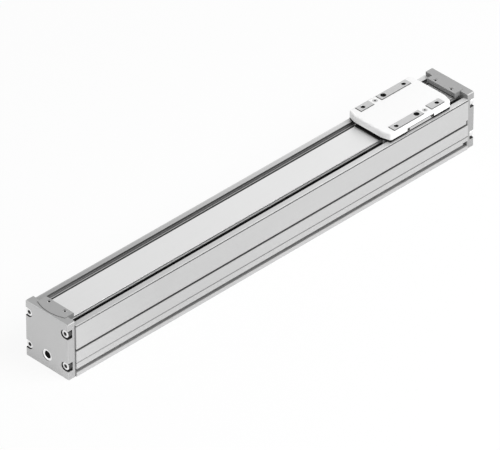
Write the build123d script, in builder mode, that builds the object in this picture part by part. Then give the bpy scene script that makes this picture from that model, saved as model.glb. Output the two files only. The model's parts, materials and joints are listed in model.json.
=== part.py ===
from build123d import *
import os

# Passive guide axis: a covered aluminium profile with a recirculating ball guide inside,
# an end cap at each end and a low carriage that rides along the top.
# X runs along the axis, -X is the front end, +Z is up and the origin is the centre of the
# base, at the height of the face that the axis stands on. Millimetres.

os.makedirs("parts", exist_ok=True)

# Travel
stroke = 400.0
end_reserve = 11.1
rest_setback = 1.5

# Clearances
running_gap = 0.1
free_gap = 0.4
assembly_gap = 0.1
thread_gap = 0.05

# Carriage outside
carriage_length = 88.2
carriage_side_inset = 1.5
nose_chamfer_length = 3.0
nose_chamfer_width = 10.2
cover_height = 9.9
cover_wall = 2.0
cover_roof = 1.9
cover_edge_radius = 1.7
cover_corner_radius = 2.2
carriage_lift = 0.8

# Extruded profile
profile_width = 60.0
profile_height = 58.8
profile_corner_radius = 0.5
profile_wall = 6.1
floor_height = 10.0
rail_seat_depth = 1.0
lip_reach = 2.9
lip_drop = 3.1
lip_height = 8.2
lip_rib_width = 0.8
lip_rib_height = 0.5
gusset_height = 8.4
base_relief_width = 40.0
base_relief_depth = 0.4

# Side grooves of the profile
tee_slot_height = 6.9
tee_slot_mouth = 4.25
tee_slot_lip = 1.6
tee_slot_inner = 7.6
tee_slot_depth = 5.0
tee_entry_length = 7.0
tee_entry_rise = 1.7
sensor_slot_height = 30.3
sensor_slot_mouth = 2.65
sensor_slot_lip = 1.2
sensor_slot_inner = 4.6
sensor_slot_depth = 3.8
sensor_entry_length = 2.6
sensor_entry_rise = 3.6
scribe_height = 15.7
scribe_width = 0.7
edge_scribe_drop = 0.8
edge_scribe_width = 0.4

# Ball guide
rail_width = 15.0
rail_height = 13.0
rail_chamfer = 0.5
rail_end_gap = 4.0
rail_pitch = 60.0
rail_screw_count = 9
rail_counterbore_radius = 3.9
rail_counterbore_depth = 5.6
rail_plug_height = 1.2
ball_radius = 1.5875
ball_play = 0.06
ball_height = 8.0
ball_offset = 0.2
ball_pitch = 3.4
balls_per_row = 11
runner_width = 34.0
runner_height = 24.0
runner_lift = 4.2
runner_steel_length = 40.0
runner_end_length = 8.0
runner_end_inset = 0.4
runner_end_chamfer = 1.6
runner_seal_thickness = 1.5
return_bore_offset = 4.7
runner_screw_spacing = 26.0
runner_screw_margin = 4.0

# Slide body
slide_web_thickness = 8.0
slide_side_gap = 1.1
slide_flank_gap = 1.2
strip_side_gap = 0.4
lip_side_gap = 0.5
pad_proud = 0.8
pad_width = 8.2
pad_row_inset = 6.0
pad_hole_spacing = 56.0
pad_end_margin = 6.4
pad_mid_margin = 6.0
short_pad_length = 17.5
pad_bolt_core_radius = 2.1
pad_bolt_depth = 9.0
centring_radius = 3.0
centring_depth = 2.0
centring_core_radius = 2.1
window_length = 36.8
window_height = 5.6
window_recess = 0.5
window_gap = 0.3
nipple_setback = 2.5
nipple_radius = 1.4
nipple_length = 4.0
nipple_bore_radius = 0.6
wiper_thickness = 2.5
wiper_height = 7.0
wiper_lip_height = 1.2
wiper_lip_thickness = 1.0
magnet_radius = 3.0
magnet_thickness = 2.4

# Cover strip and its clamps
strip_slit = 4.2
strip_thickness = 0.8
strip_fold_height = 3.2
strip_foot = 0.8
strip_end_gap = 0.2
strip_fold_radius = 0.7
clamp_plate_thickness = 1.2
clamp_plate_margin = 0.8
clamp_screw_margin = 6.15
clamp_screw_inset = 14.0
clamp_screw_recess = 0.4

# End caps
cap_thickness = 9.8
cap_side_inset = 1.3
cap_rise = 5.1
cap_edge_radius = 1.2
cap_block_rise = 0.8
cap_block_reach = 8.0
cap_block_margin = 2.0
cap_block_edge_radius = 0.5
cap_block_cheek_gap = 0.2
cap_block_arc_apex = 2.2
cap_block_arc_depth = 4.25
cap_shelf_height = 6.0
cap_shelf_gap = 0.4
cap_screw_outset = 0.4
cap_screw_recess = 0.9
cap_pocket_radius = 4.75
cap_screw_reach = 12.0
port_height = 14.8
port_radius = 4.3
port_face_radius = 6.2
port_face_depth = 0.4

# Stop buffers
buffer_radius = 6.0
buffer_length = 12.5
buffer_nose_radius = 2.5
buffer_spigot_radius = 2.5
buffer_spigot_length = 4.0
buffer_boss_radius = 7.0
buffer_boss_length = 6.0

# M5 socket head screws: radii of shank and head, and a socket measured across its flats
m5_shank = 2.5
m5_head = 4.25
m5_head_height = 5.0
m5_socket = 4.0
m5_socket_depth = 2.5

# M4 socket head screws
m4_shank = 2.0
m4_head = 3.5
m4_head_height = 4.0
m4_socket = 3.0
m4_socket_depth = 2.0

# M3 countersunk screws
m3_shank = 1.5
m3_head = 2.75
m3_socket = 2.0
m3_socket_depth = 1.0

# Set screws, and how far each kind of screw reaches
set_screw_radius = 2.0
set_screw_socket = 2.0
set_screw_socket_depth = 1.8
screw_edge_chamfer = 0.4
rail_screw_reach = 7.5
runner_screw_reach = 6.0
cover_screw_reach = 5.0

# Lengths that follow from the travel
profile_length = stroke + carriage_length + 2 * (end_reserve + cap_block_reach)
overall_length = profile_length + 2 * cap_thickness
carriage_x = stroke / 2 - rest_setback

# Heights and half widths inside the profile
cavity_half = profile_width / 2 - profile_wall
lip_half = cavity_half - lip_reach
lip_top = profile_height - lip_drop
lip_bottom = lip_top - lip_height
strip_width = 2 * (lip_half - strip_slit)
rail_seat = floor_height - rail_seat_depth
rail_top = rail_seat + rail_height
ball_line_height = rail_seat + ball_height
ball_line_half = rail_width / 2 + ball_offset
race_radius = ball_radius + ball_play
runner_bottom = rail_seat + runner_lift
runner_top = rail_seat + runner_height
runner_channel_half = rail_width / 2 + free_gap
runner_channel_top = rail_top + free_gap

# Heights and half widths of the slide body and its cover
carriage_width = profile_width - 2 * carriage_side_inset
slide_bottom = profile_height + carriage_lift
web_top = runner_top + slide_web_thickness
web_half = cavity_half - slide_side_gap
flank_top = lip_bottom - slide_flank_gap
neck_inner = strip_width / 2 + strip_foot + strip_side_gap
neck_outer = lip_half - lip_side_gap
cover_top = slide_bottom + cover_height
slide_top = cover_top - cover_roof
pad_top = cover_top + pad_proud
slide_inset = cover_wall + assembly_gap
slide_half_length = carriage_length / 2 - slide_inset
pad_row = carriage_width / 2 - pad_row_inset
hole_column = pad_hole_spacing / 2
long_pad_length = hole_column + pad_end_margin + pad_mid_margin
cover_screw_column = (pad_mid_margin + hole_column + pad_end_margin - short_pad_length) / 2
window_top = slide_bottom + window_height
nipple_height = slide_bottom + window_height / 2 + window_gap
nipple_column = window_length / 2 - nipple_setback
wiper_bottom = profile_height + running_gap
wiper_x = slide_half_length - wiper_thickness

# Sizes of the strip clamp and the end caps
cap_width = profile_width - 2 * cap_side_inset
cap_height = profile_height + cap_rise
cap_block_width = strip_width + 2 * cap_block_margin
clamp_plate_top = profile_height + clamp_plate_thickness
clamp_screw_row = strip_width / 2 - clamp_screw_margin
block_bottom = profile_height + cap_block_cheek_gap
block_channel_top = clamp_plate_top + free_gap
block_channel_half = strip_width / 2 + free_gap
block_top = cap_height + cap_block_rise
shelf_top = profile_height - strip_thickness
shelf_half = strip_width / 2 - strip_thickness - cap_shelf_gap
cap_screw_row = cavity_half + cap_screw_outset
cap_screw_heights = (floor_height + gusset_height / 2, lip_bottom + lip_height / 2)
cap_pocket_depth = cap_screw_recess + m5_head_height
buffer_height = runner_top + slide_web_thickness / 2

ENDS = (("front", -1), ("rear", 1))


def end_plane(end_sign, depth):
    """Plane parallel to an end cap's outer face, a depth behind it, looking into the axis."""
    return Plane(
        origin=(end_sign * (overall_length / 2 - depth), 0, 0),
        x_dir=(0, -end_sign, 0),
        z_dir=(-end_sign, 0, 0),
    )


def cross_plane(x):
    """Plane across the axis at x, with Y to the right and Z up."""
    return Plane(origin=(x, 0, 0), x_dir=(0, 1, 0), z_dir=(1, 0, 0))


def side_plane(side_sign, y):
    """Plane along one long side of the axis, looking in from that side."""
    return Plane(
        origin=(0, side_sign * y, 0),
        x_dir=(side_sign, 0, 0),
        z_dir=(0, -side_sign, 0),
    )


def hexagon_radius(across_flats):
    """Corner radius of a hexagon socket."""
    return across_flats / 3 ** 0.5


def carriage_outline(inset):
    """Plan of the carriage with its slanted noses, drawn into the current sketch."""
    half_length = carriage_length / 2
    half_width = carriage_width / 2
    nose = half_width - nose_chamfer_width
    shoulder = half_length - nose_chamfer_length
    with Locations((carriage_x, 0)):
        Polygon(
            (half_length, nose),
            (shoulder, half_width),
            (-shoulder, half_width),
            (-half_length, nose),
            (-half_length, -nose),
            (-shoulder, -half_width),
            (shoulder, -half_width),
            (half_length, -nose),
            align=None,
        )
    if inset > 0:
        offset(amount=-inset, kind=Kind.INTERSECTION, mode=Mode.REPLACE)


def pad_places():
    """Centre and length of each mounting pad, turned half a turn about the carriage's middle."""
    long_centre = (hole_column + pad_end_margin - pad_mid_margin) / 2
    short_centre = hole_column + pad_end_margin - short_pad_length / 2
    places = []
    for turn in (-1, 1):
        places.append((carriage_x + turn * long_centre, turn * pad_row, long_pad_length))
        places.append((carriage_x - turn * short_centre, turn * pad_row, short_pad_length))
    return places


bolt_places = [
    (carriage_x + i * hole_column, j * pad_row) for i in (-1, 1) for j in (-1, 1)
]
centring_places = [(carriage_x, j * pad_row) for j in (-1, 1)]
cover_screw_places = [(carriage_x - j * cover_screw_column, j * pad_row) for j in (-1, 1)]
rail_screw_places = [
    (rail_pitch * (i - (rail_screw_count - 1) / 2), 0) for i in range(rail_screw_count)
]
cap_screw_places = [(j * cap_screw_row, z) for j in (-1, 1) for z in cap_screw_heights]


# Extruded profile, open at the top, with the screw channels inside its lips and gussets
with BuildPart() as guide_profile:
    with BuildSketch(Plane.YZ) as profile_section:
        with Locations((0, profile_height / 2)):
            Rectangle(profile_width, profile_height)
        fillet(profile_section.vertices(), profile_corner_radius)
        with Locations((0, floor_height)):
            Rectangle(
                2 * cavity_half,
                profile_height - floor_height,
                align=(Align.CENTER, Align.MIN),
                mode=Mode.SUBTRACT,
            )
        with Locations((0, rail_seat)):
            Rectangle(
                rail_width + 2 * running_gap,
                rail_seat_depth,
                align=(Align.CENTER, Align.MIN),
                mode=Mode.SUBTRACT,
            )
        Rectangle(
            base_relief_width,
            base_relief_depth,
            align=(Align.CENTER, Align.MIN),
            mode=Mode.SUBTRACT,
        )
        for side in (-1, 1):
            with Locations((side * (lip_half + lip_reach / 2), lip_bottom)):
                Rectangle(lip_reach, lip_height, align=(Align.CENTER, Align.MIN))
            with Locations((side * (lip_half + lip_rib_width / 2), lip_top)):
                Rectangle(lip_rib_width, lip_rib_height, align=(Align.CENTER, Align.MIN))
            with Locations((side * (lip_half + lip_reach / 2), floor_height)):
                Rectangle(lip_reach, gusset_height, align=(Align.CENTER, Align.MIN))
            for height, mouth, lip, inner, depth in (
                (tee_slot_height, tee_slot_mouth, tee_slot_lip, tee_slot_inner, tee_slot_depth),
                (
                    sensor_slot_height,
                    sensor_slot_mouth,
                    sensor_slot_lip,
                    sensor_slot_inner,
                    sensor_slot_depth,
                ),
            ):
                with Locations((side * (profile_width / 2 - lip / 2), height)):
                    Rectangle(lip, mouth, mode=Mode.SUBTRACT)
                with Locations((side * (profile_width / 2 - (lip + depth) / 2), height)):
                    Rectangle(depth - lip, inner, mode=Mode.SUBTRACT)
            for height, width in (
                (scribe_height, scribe_width),
                (profile_height - edge_scribe_drop, edge_scribe_width),
            ):
                with Locations((side * profile_width / 2, height)):
                    Rectangle(width, width, rotation=45, mode=Mode.SUBTRACT)
        with Locations(*cap_screw_places):
            Circle(m5_shank + thread_gap, mode=Mode.SUBTRACT)
    extrude(amount=profile_length / 2, both=True)
    # Tapped holes under the rail
    with Locations(*[(x, y, rail_seat) for x, y in rail_screw_places]):
        Hole(m4_shank + thread_gap, depth=rail_screw_reach + free_gap)
    # Milled openings where nuts and sensors go into the grooves, at the rear end
    for side in (-1, 1):
        for height, mouth, depth, entry, rise in (
            (tee_slot_height, tee_slot_mouth, tee_slot_depth, tee_entry_length, tee_entry_rise),
            (
                sensor_slot_height,
                sensor_slot_mouth,
                sensor_slot_depth,
                sensor_entry_length,
                sensor_entry_rise,
            ),
        ):
            with BuildSketch(side_plane(side, profile_width / 2)):
                with Locations((side * (profile_length - entry) / 2, height - mouth / 2)):
                    Rectangle(entry, mouth + rise, align=(Align.CENTER, Align.MIN))
            extrude(amount=depth, mode=Mode.SUBTRACT)
guide_profile.part.label = "guide_profile"
export_step(guide_profile.part, "parts/guide_profile.step")


# Hardened rail with one ball race in each flank
rail_length = profile_length - 2 * rail_end_gap
with BuildPart() as guide_rail:
    with BuildSketch(Plane.YZ) as rail_section:
        with Locations((0, rail_seat)):
            Rectangle(rail_width, rail_height, align=(Align.CENTER, Align.MIN))
        chamfer(rail_section.vertices().group_by(Axis.Y)[-1], rail_chamfer)
        with Locations((ball_line_half, ball_line_height), (-ball_line_half, ball_line_height)):
            Circle(race_radius, mode=Mode.SUBTRACT)
    extrude(amount=rail_length / 2, both=True)
    with Locations(*[(x, y, rail_top) for x, y in rail_screw_places]):
        CounterBoreHole(
            m4_shank + running_gap,
            rail_counterbore_radius,
            rail_counterbore_depth,
        )
guide_rail.part.label = "guide_rail"
export_step(guide_rail.part, "parts/guide_rail.step")

rail_screw_seat = rail_top - rail_counterbore_depth
with BuildPart() as rail_screws:
    with BuildSketch(Plane.XY.offset(rail_screw_seat)):
        with Locations(*rail_screw_places):
            Circle(m4_head)
    extrude(amount=m4_head_height)
    chamfer(rail_screws.edges().group_by(Axis.Z)[-1], screw_edge_chamfer)
    with BuildSketch(Plane.XY.offset(rail_screw_seat + m4_head_height - m4_socket_depth)):
        with Locations(*rail_screw_places):
            RegularPolygon(hexagon_radius(m4_socket), 6)
    extrude(amount=m4_socket_depth, mode=Mode.SUBTRACT)
    with BuildSketch(Plane.XY.offset(rail_seat - rail_screw_reach)):
        with Locations(*rail_screw_places):
            Circle(m4_shank)
    extrude(amount=rail_screw_seat - rail_seat + rail_screw_reach)
rail_screws.part.label = "rail_screws"
export_step(rail_screws.part, "parts/rail_screws.step")

with BuildPart() as rail_plugs:
    with BuildSketch(Plane.XY.offset(rail_top - rail_plug_height)):
        with Locations(*rail_screw_places):
            Circle(rail_counterbore_radius - thread_gap)
    extrude(amount=rail_plug_height)
rail_plugs.part.label = "rail_plugs"
export_step(rail_plugs.part, "parts/rail_plugs.step")


# Steel cover strip, folded down at both edges, from cap to cap
with BuildPart() as cover_strip:
    with BuildSketch(Plane.YZ) as strip_section:
        with Locations((0, profile_height)):
            Rectangle(strip_width, strip_fold_height, align=(Align.CENTER, Align.MAX))
        fillet(strip_section.vertices().group_by(Axis.Y)[-1], strip_fold_radius)
        with Locations((0, profile_height - strip_thickness)):
            Rectangle(
                strip_width - 2 * strip_thickness,
                strip_fold_height - strip_thickness,
                align=(Align.CENTER, Align.MAX),
                mode=Mode.SUBTRACT,
            )
        for side in (-1, 1):
            with Locations((side * strip_width / 2, profile_height - strip_fold_height)):
                Rectangle(
                    strip_foot,
                    strip_thickness,
                    align=(Align.MIN if side > 0 else Align.MAX, Align.MIN),
                )
    extrude(amount=profile_length / 2 - strip_end_gap, both=True)
cover_strip.part.label = "cover_strip"
export_step(cover_strip.part, "parts/cover_strip.step")


for end_name, end_sign in ENDS:
    cap_outer_x = end_sign * overall_length / 2
    clamp_screw_x = cap_outer_x - end_sign * clamp_screw_inset
    clamp_screw_places = [(clamp_screw_x, j * clamp_screw_row) for j in (-1, 1)]

    # Cast end cap: plate, raised block over the strip, shelf under it and a boss for the stop
    with BuildPart() as end_cap:
        with BuildSketch(end_plane(end_sign, 0)):
            Rectangle(cap_width, cap_height, align=(Align.CENTER, Align.MIN))
        extrude(amount=cap_thickness)
        fillet(
            end_cap.faces().sort_by(Axis.X)[0 if end_sign < 0 else -1].edges()
            + end_cap.edges().filter_by(Axis.Z),
            cap_edge_radius,
        )
        with BuildSketch(Plane.XY.offset(block_bottom)):
            arc_side = cap_outer_x - end_sign * (cap_block_arc_apex + cap_block_arc_depth)
            arc_apex = cap_outer_x - end_sign * cap_block_arc_apex
            block_inner = cap_outer_x - end_sign * (cap_thickness + cap_block_reach)
            with BuildLine():
                ThreePointArc(
                    (arc_side, -cap_block_width / 2),
                    (arc_apex, 0),
                    (arc_side, cap_block_width / 2),
                )
                Polyline(
                    (arc_side, cap_block_width / 2),
                    (block_inner, cap_block_width / 2),
                    (block_inner, -cap_block_width / 2),
                    (arc_side, -cap_block_width / 2),
                )
            make_face()
        extrude(amount=block_top - block_bottom)
        fillet(end_cap.faces().sort_by(Axis.Z)[-1].edges(), cap_block_edge_radius)
        with BuildSketch(end_plane(end_sign, cap_thickness)):
            with Locations((0, block_bottom)):
                Rectangle(
                    2 * block_channel_half,
                    block_channel_top - block_bottom,
                    align=(Align.CENTER, Align.MIN),
                )
        extrude(amount=cap_block_reach, mode=Mode.SUBTRACT)
        with BuildSketch(end_plane(end_sign, cap_thickness)):
            with Locations((0, shelf_top)):
                Rectangle(2 * shelf_half, cap_shelf_height, align=(Align.CENTER, Align.MAX))
        extrude(amount=cap_block_reach)
        with BuildSketch(end_plane(end_sign, cap_thickness)):
            with Locations((0, buffer_height)):
                Circle(buffer_boss_radius)
        extrude(amount=buffer_boss_length)
        with BuildSketch(end_plane(end_sign, cap_thickness + buffer_boss_length)):
            with Locations((0, buffer_height)):
                Circle(buffer_spigot_radius + thread_gap)
        extrude(amount=-(buffer_spigot_length + free_gap), mode=Mode.SUBTRACT)
        # Pockets of the four screws, open towards the sides
        with BuildSketch(end_plane(end_sign, 0)):
            with Locations(*cap_screw_places):
                Circle(cap_pocket_radius)
            for y, z in cap_screw_places:
                with Locations((y, z)):
                    Rectangle(
                        cap_width / 2 - cap_screw_row + free_gap,
                        2 * cap_pocket_radius,
                        align=(Align.MIN if y > 0 else Align.MAX, Align.CENTER),
                    )
        extrude(amount=cap_pocket_depth, mode=Mode.SUBTRACT)
        with BuildSketch(end_plane(end_sign, 0)):
            with Locations(*cap_screw_places):
                Circle(m5_shank + running_gap)
            with Locations((0, port_height)):
                Circle(port_radius)
        extrude(amount=cap_thickness, mode=Mode.SUBTRACT)
        with BuildSketch(end_plane(end_sign, 0)):
            with Locations((0, port_height)):
                Circle(port_face_radius)
        extrude(amount=port_face_depth, mode=Mode.SUBTRACT)
        with Locations(*[(x, y, block_top) for x, y in clamp_screw_places]):
            Hole(set_screw_radius + thread_gap, depth=block_top - block_channel_top)
    end_cap.part.label = f"{end_name}_end_cap"
    export_step(end_cap.part, f"parts/{end_name}_end_cap.step")

    with BuildPart() as cap_screws:
        with BuildSketch(end_plane(end_sign, cap_screw_recess)):
            with Locations(*cap_screw_places):
                Circle(m5_head)
        extrude(amount=m5_head_height)
        outer_rims = cap_screws.edges().group_by(Axis.X)[0 if end_sign < 0 else -1]
        chamfer(outer_rims, screw_edge_chamfer)
        with BuildSketch(end_plane(end_sign, cap_screw_recess)):
            with Locations(*cap_screw_places):
                RegularPolygon(hexagon_radius(m5_socket), 6)
        extrude(amount=m5_socket_depth, mode=Mode.SUBTRACT)
        with BuildSketch(end_plane(end_sign, cap_pocket_depth)):
            with Locations(*cap_screw_places):
                Circle(m5_shank)
        extrude(amount=cap_thickness - cap_pocket_depth + cap_screw_reach)
    cap_screws.part.label = f"{end_name}_cap_screws"
    export_step(cap_screws.part, f"parts/{end_name}_cap_screws.step")

    # Plate that the two set screws press down on the end of the strip
    with BuildPart() as strip_clamp:
        with BuildSketch(end_plane(end_sign, cap_thickness + running_gap)):
            with Locations((0, profile_height)):
                Rectangle(
                    strip_width - 2 * clamp_plate_margin,
                    clamp_plate_thickness,
                    align=(Align.CENTER, Align.MIN),
                )
        extrude(amount=cap_block_reach - 2 * running_gap)
    strip_clamp.part.label = f"{end_name}_strip_clamp"
    export_step(strip_clamp.part, f"parts/{end_name}_strip_clamp.step")

    with BuildPart() as clamp_screws:
        with BuildSketch(Plane.XY.offset(clamp_plate_top)):
            with Locations(*clamp_screw_places):
                Circle(set_screw_radius)
        extrude(amount=block_top - clamp_screw_recess - clamp_plate_top)
        with BuildSketch(Plane.XY.offset(block_top - clamp_screw_recess)):
            with Locations(*clamp_screw_places):
                RegularPolygon(hexagon_radius(set_screw_socket), 6)
        extrude(amount=-set_screw_socket_depth, mode=Mode.SUBTRACT)
    clamp_screws.part.label = f"{end_name}_clamp_screws"
    export_step(clamp_screws.part, f"parts/{end_name}_clamp_screws.step")

    # Rubber stop that the slide body meets past the end of the stroke
    with BuildPart() as stop_buffer:
        with BuildSketch(end_plane(end_sign, cap_thickness + buffer_boss_length)):
            with Locations((0, buffer_height)):
                Circle(buffer_radius)
        extrude(amount=buffer_length)
        nose = stop_buffer.faces().sort_by(Axis.X)[-1 if end_sign < 0 else 0]
        fillet(nose.edges(), buffer_nose_radius)
        with BuildSketch(end_plane(end_sign, cap_thickness + buffer_boss_length)):
            with Locations((0, buffer_height)):
                Circle(buffer_spigot_radius)
        extrude(amount=-buffer_spigot_length)
    stop_buffer.part.label = f"{end_name}_stop_buffer"
    export_step(stop_buffer.part, f"parts/{end_name}_stop_buffer.step")


# Steel body of the runner, which straddles the rail
runner_screw_row = runner_width / 2 - runner_screw_margin
runner_screw_places = [
    (carriage_x + i * runner_screw_spacing / 2, j * runner_screw_row)
    for i in (-1, 1)
    for j in (-1, 1)
]
return_bore_half = ball_line_half + return_bore_offset
with BuildPart() as runner_block:
    with BuildSketch(cross_plane(carriage_x - runner_steel_length / 2)):
        with Locations((0, runner_bottom)):
            Rectangle(
                runner_width, runner_top - runner_bottom, align=(Align.CENTER, Align.MIN)
            )
            Rectangle(
                2 * runner_channel_half,
                runner_channel_top - runner_bottom,
                align=(Align.CENTER, Align.MIN),
                mode=Mode.SUBTRACT,
            )
        with Locations((ball_line_half, ball_line_height), (-ball_line_half, ball_line_height)):
            Circle(race_radius, mode=Mode.SUBTRACT)
        with Locations(
            (return_bore_half, ball_line_height), (-return_bore_half, ball_line_height)
        ):
            Circle(race_radius, mode=Mode.SUBTRACT)
    extrude(amount=runner_steel_length)
    with Locations(*[(x, y, runner_top) for x, y in runner_screw_places]):
        Hole(m4_shank + thread_gap, depth=runner_screw_reach + free_gap)
runner_block.part.label = "runner_block"
export_step(runner_block.part, "parts/runner_block.step")

# Balls that carry the load, one row between each flank of the rail and the runner
with BuildPart() as runner_balls:
    with Locations(
        *[
            (
                carriage_x + ball_pitch * (i - (balls_per_row - 1) / 2),
                j * ball_line_half,
                ball_line_height,
            )
            for i in range(balls_per_row)
            for j in (-1, 1)
        ]
    ):
        Sphere(ball_radius)
runner_balls.part.label = "runner_balls"
export_step(runner_balls.part, "parts/runner_balls.step")

for end_name, end_sign in ENDS:
    steel_face = carriage_x + end_sign * runner_steel_length / 2

    # Plastic ball return on the end of the runner
    with BuildPart() as runner_end:
        with BuildSketch(cross_plane(steel_face)) as return_section:
            with Locations((0, runner_bottom + runner_end_inset)):
                Rectangle(
                    runner_width - 2 * runner_end_inset,
                    runner_top - runner_bottom - 2 * runner_end_inset,
                    align=(Align.CENTER, Align.MIN),
                )
            chamfer(return_section.vertices().group_by(Axis.Y)[-1], runner_end_chamfer)
            with Locations((0, runner_bottom)):
                Rectangle(
                    2 * runner_channel_half,
                    runner_channel_top - runner_bottom,
                    align=(Align.CENTER, Align.MIN),
                    mode=Mode.SUBTRACT,
                )
        extrude(amount=end_sign * runner_end_length)
    runner_end.part.label = f"{end_name}_runner_end"
    export_step(runner_end.part, f"parts/{end_name}_runner_end.step")

    # Rubber seal that wipes the rail
    with BuildPart() as runner_seal:
        with BuildSketch(cross_plane(steel_face + end_sign * runner_end_length)):
            with Locations((0, runner_bottom + runner_end_inset)):
                Rectangle(
                    runner_width - 2 * runner_end_inset,
                    rail_top + runner_lift - runner_bottom,
                    align=(Align.CENTER, Align.MIN),
                )
            with Locations((0, runner_bottom)):
                Rectangle(
                    rail_width + 2 * running_gap,
                    rail_top + running_gap - runner_bottom,
                    align=(Align.CENTER, Align.MIN),
                    mode=Mode.SUBTRACT,
                )
        extrude(amount=end_sign * runner_seal_thickness)
    runner_seal.part.label = f"{end_name}_runner_seal"
    export_step(runner_seal.part, f"parts/{end_name}_runner_seal.step")


# Slide body: a web on the runner, a thin neck through each slit beside the strip and the
# plate above the strip, with the mounting pads on top
with BuildPart() as slide_body:
    with BuildSketch(cross_plane(carriage_x - slide_half_length)):
        with Locations((0, runner_top)):
            Rectangle(2 * web_half, flank_top - runner_top, align=(Align.CENTER, Align.MIN))
        with Locations((0, flank_top)):
            Rectangle(2 * neck_outer, slide_bottom - flank_top, align=(Align.CENTER, Align.MIN))
        with Locations((0, web_top)):
            Rectangle(
                2 * neck_inner,
                slide_bottom - web_top,
                align=(Align.CENTER, Align.MIN),
                mode=Mode.SUBTRACT,
            )
    extrude(amount=2 * slide_half_length)
    with BuildSketch(Plane.XY.offset(slide_bottom)):
        carriage_outline(slide_inset)
    extrude(amount=slide_top - slide_bottom)
    for x, y, length in pad_places():
        with BuildSketch(Plane.XY.offset(slide_top)):
            with Locations((x, y)):
                Rectangle(length, pad_width)
        extrude(amount=pad_top - slide_top)
    # Flank shown in the window on each long side of the cover
    for side in (-1, 1):
        with BuildSketch(side_plane(side, carriage_width / 2 - window_recess)):
            with Locations((side * carriage_x, slide_bottom + window_gap)):
                Rectangle(
                    window_length - 2 * window_gap,
                    window_height - 2 * window_gap,
                    align=(Align.CENTER, Align.MIN),
                )
        extrude(amount=slide_inset)
        with BuildSketch(side_plane(side, carriage_width / 2 - window_recess)):
            with Locations(
                (side * (carriage_x - nipple_column), nipple_height),
                (side * (carriage_x + nipple_column), nipple_height),
            ):
                Circle(nipple_radius + thread_gap)
        extrude(amount=nipple_length + free_gap, mode=Mode.SUBTRACT)
        with BuildSketch(side_plane(side, web_half)):
            with Locations((side * carriage_x, runner_top + slide_web_thickness / 2)):
                Circle(magnet_radius + thread_gap)
        extrude(amount=magnet_thickness, mode=Mode.SUBTRACT)
    # Notch for the strip wiper in each end
    for end_sign in (-1, 1):
        with BuildSketch(Plane.XY.offset(slide_bottom)):
            with Locations((carriage_x + end_sign * wiper_x, 0)):
                Rectangle(
                    wiper_thickness,
                    strip_width + 2 * assembly_gap,
                    align=(Align.MIN if end_sign > 0 else Align.MAX, Align.CENTER),
                )
        extrude(amount=wiper_bottom + wiper_height - slide_bottom, mode=Mode.SUBTRACT)
    # Mounting holes, and wider centring holes in the middle of the long pads
    with Locations(*[(x, y, pad_top) for x, y in bolt_places]):
        Hole(pad_bolt_core_radius, depth=pad_bolt_depth)
    with Locations(*[(x, y, pad_top) for x, y in centring_places]):
        CounterBoreHole(
            centring_core_radius, centring_radius, centring_depth, depth=pad_bolt_depth
        )
    with Locations(*[(x, y, slide_top) for x, y in cover_screw_places]):
        Hole(m3_shank + thread_gap, depth=cover_screw_reach + free_gap)
    with Locations(*[(x, y, web_top) for x, y in runner_screw_places]):
        CounterBoreHole(
            m4_shank + running_gap,
            m4_head + running_gap,
            m4_head_height + running_gap,
            depth=slide_web_thickness,
        )
slide_body.part.label = "slide_body"
export_step(slide_body.part, "parts/slide_body.step")

# White cover over the slide body, with a cut-out for each pad and a window in each long side
with BuildPart() as slide_cover:
    with BuildSketch(Plane.XY.offset(slide_bottom)):
        carriage_outline(0)
    extrude(amount=cover_top - slide_bottom)
    fillet(slide_cover.edges().filter_by(Axis.Z), cover_corner_radius)
    fillet(slide_cover.faces().sort_by(Axis.Z)[-1].edges(), cover_edge_radius)
    with BuildSketch(Plane.XY.offset(slide_bottom)):
        carriage_outline(cover_wall)
    extrude(amount=slide_top - slide_bottom, mode=Mode.SUBTRACT)
    for x, y, length in pad_places():
        with BuildSketch(Plane.XY.offset(slide_top)):
            with Locations((x, y)):
                Rectangle(length + 2 * assembly_gap, pad_width + 2 * assembly_gap)
        extrude(amount=cover_roof, mode=Mode.SUBTRACT)
    for side in (-1, 1):
        with BuildSketch(side_plane(side, carriage_width / 2)):
            with Locations((side * carriage_x, slide_bottom)):
                Rectangle(window_length, window_height, align=(Align.CENTER, Align.MIN))
        extrude(amount=cover_wall, mode=Mode.SUBTRACT)
    with Locations(*[(x, y, cover_top) for x, y in cover_screw_places]):
        CounterSinkHole(m3_shank + running_gap, m3_head + running_gap, depth=cover_roof)
slide_cover.part.label = "slide_cover"
export_step(slide_cover.part, "parts/slide_cover.step")

# Countersunk screws of the cover
with BuildPart() as cover_screws:
    for x, y in cover_screw_places:
        with BuildSketch(Plane.XZ.offset(-y)):
            with BuildLine():
                Polyline(
                    (x, cover_top),
                    (x + m3_head, cover_top),
                    (x + m3_shank, cover_top - m3_head + m3_shank),
                    (x + m3_shank, slide_top - cover_screw_reach),
                    (x, slide_top - cover_screw_reach),
                    close=True,
                )
            make_face()
        revolve(axis=Axis((x, y, 0), (0, 0, 1)))
    with BuildSketch(Plane.XY.offset(cover_top)):
        with Locations(*cover_screw_places):
            RegularPolygon(hexagon_radius(m3_socket), 6)
    extrude(amount=-m3_socket_depth, mode=Mode.SUBTRACT)
cover_screws.part.label = "cover_screws"
export_step(cover_screws.part, "parts/cover_screws.step")

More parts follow.
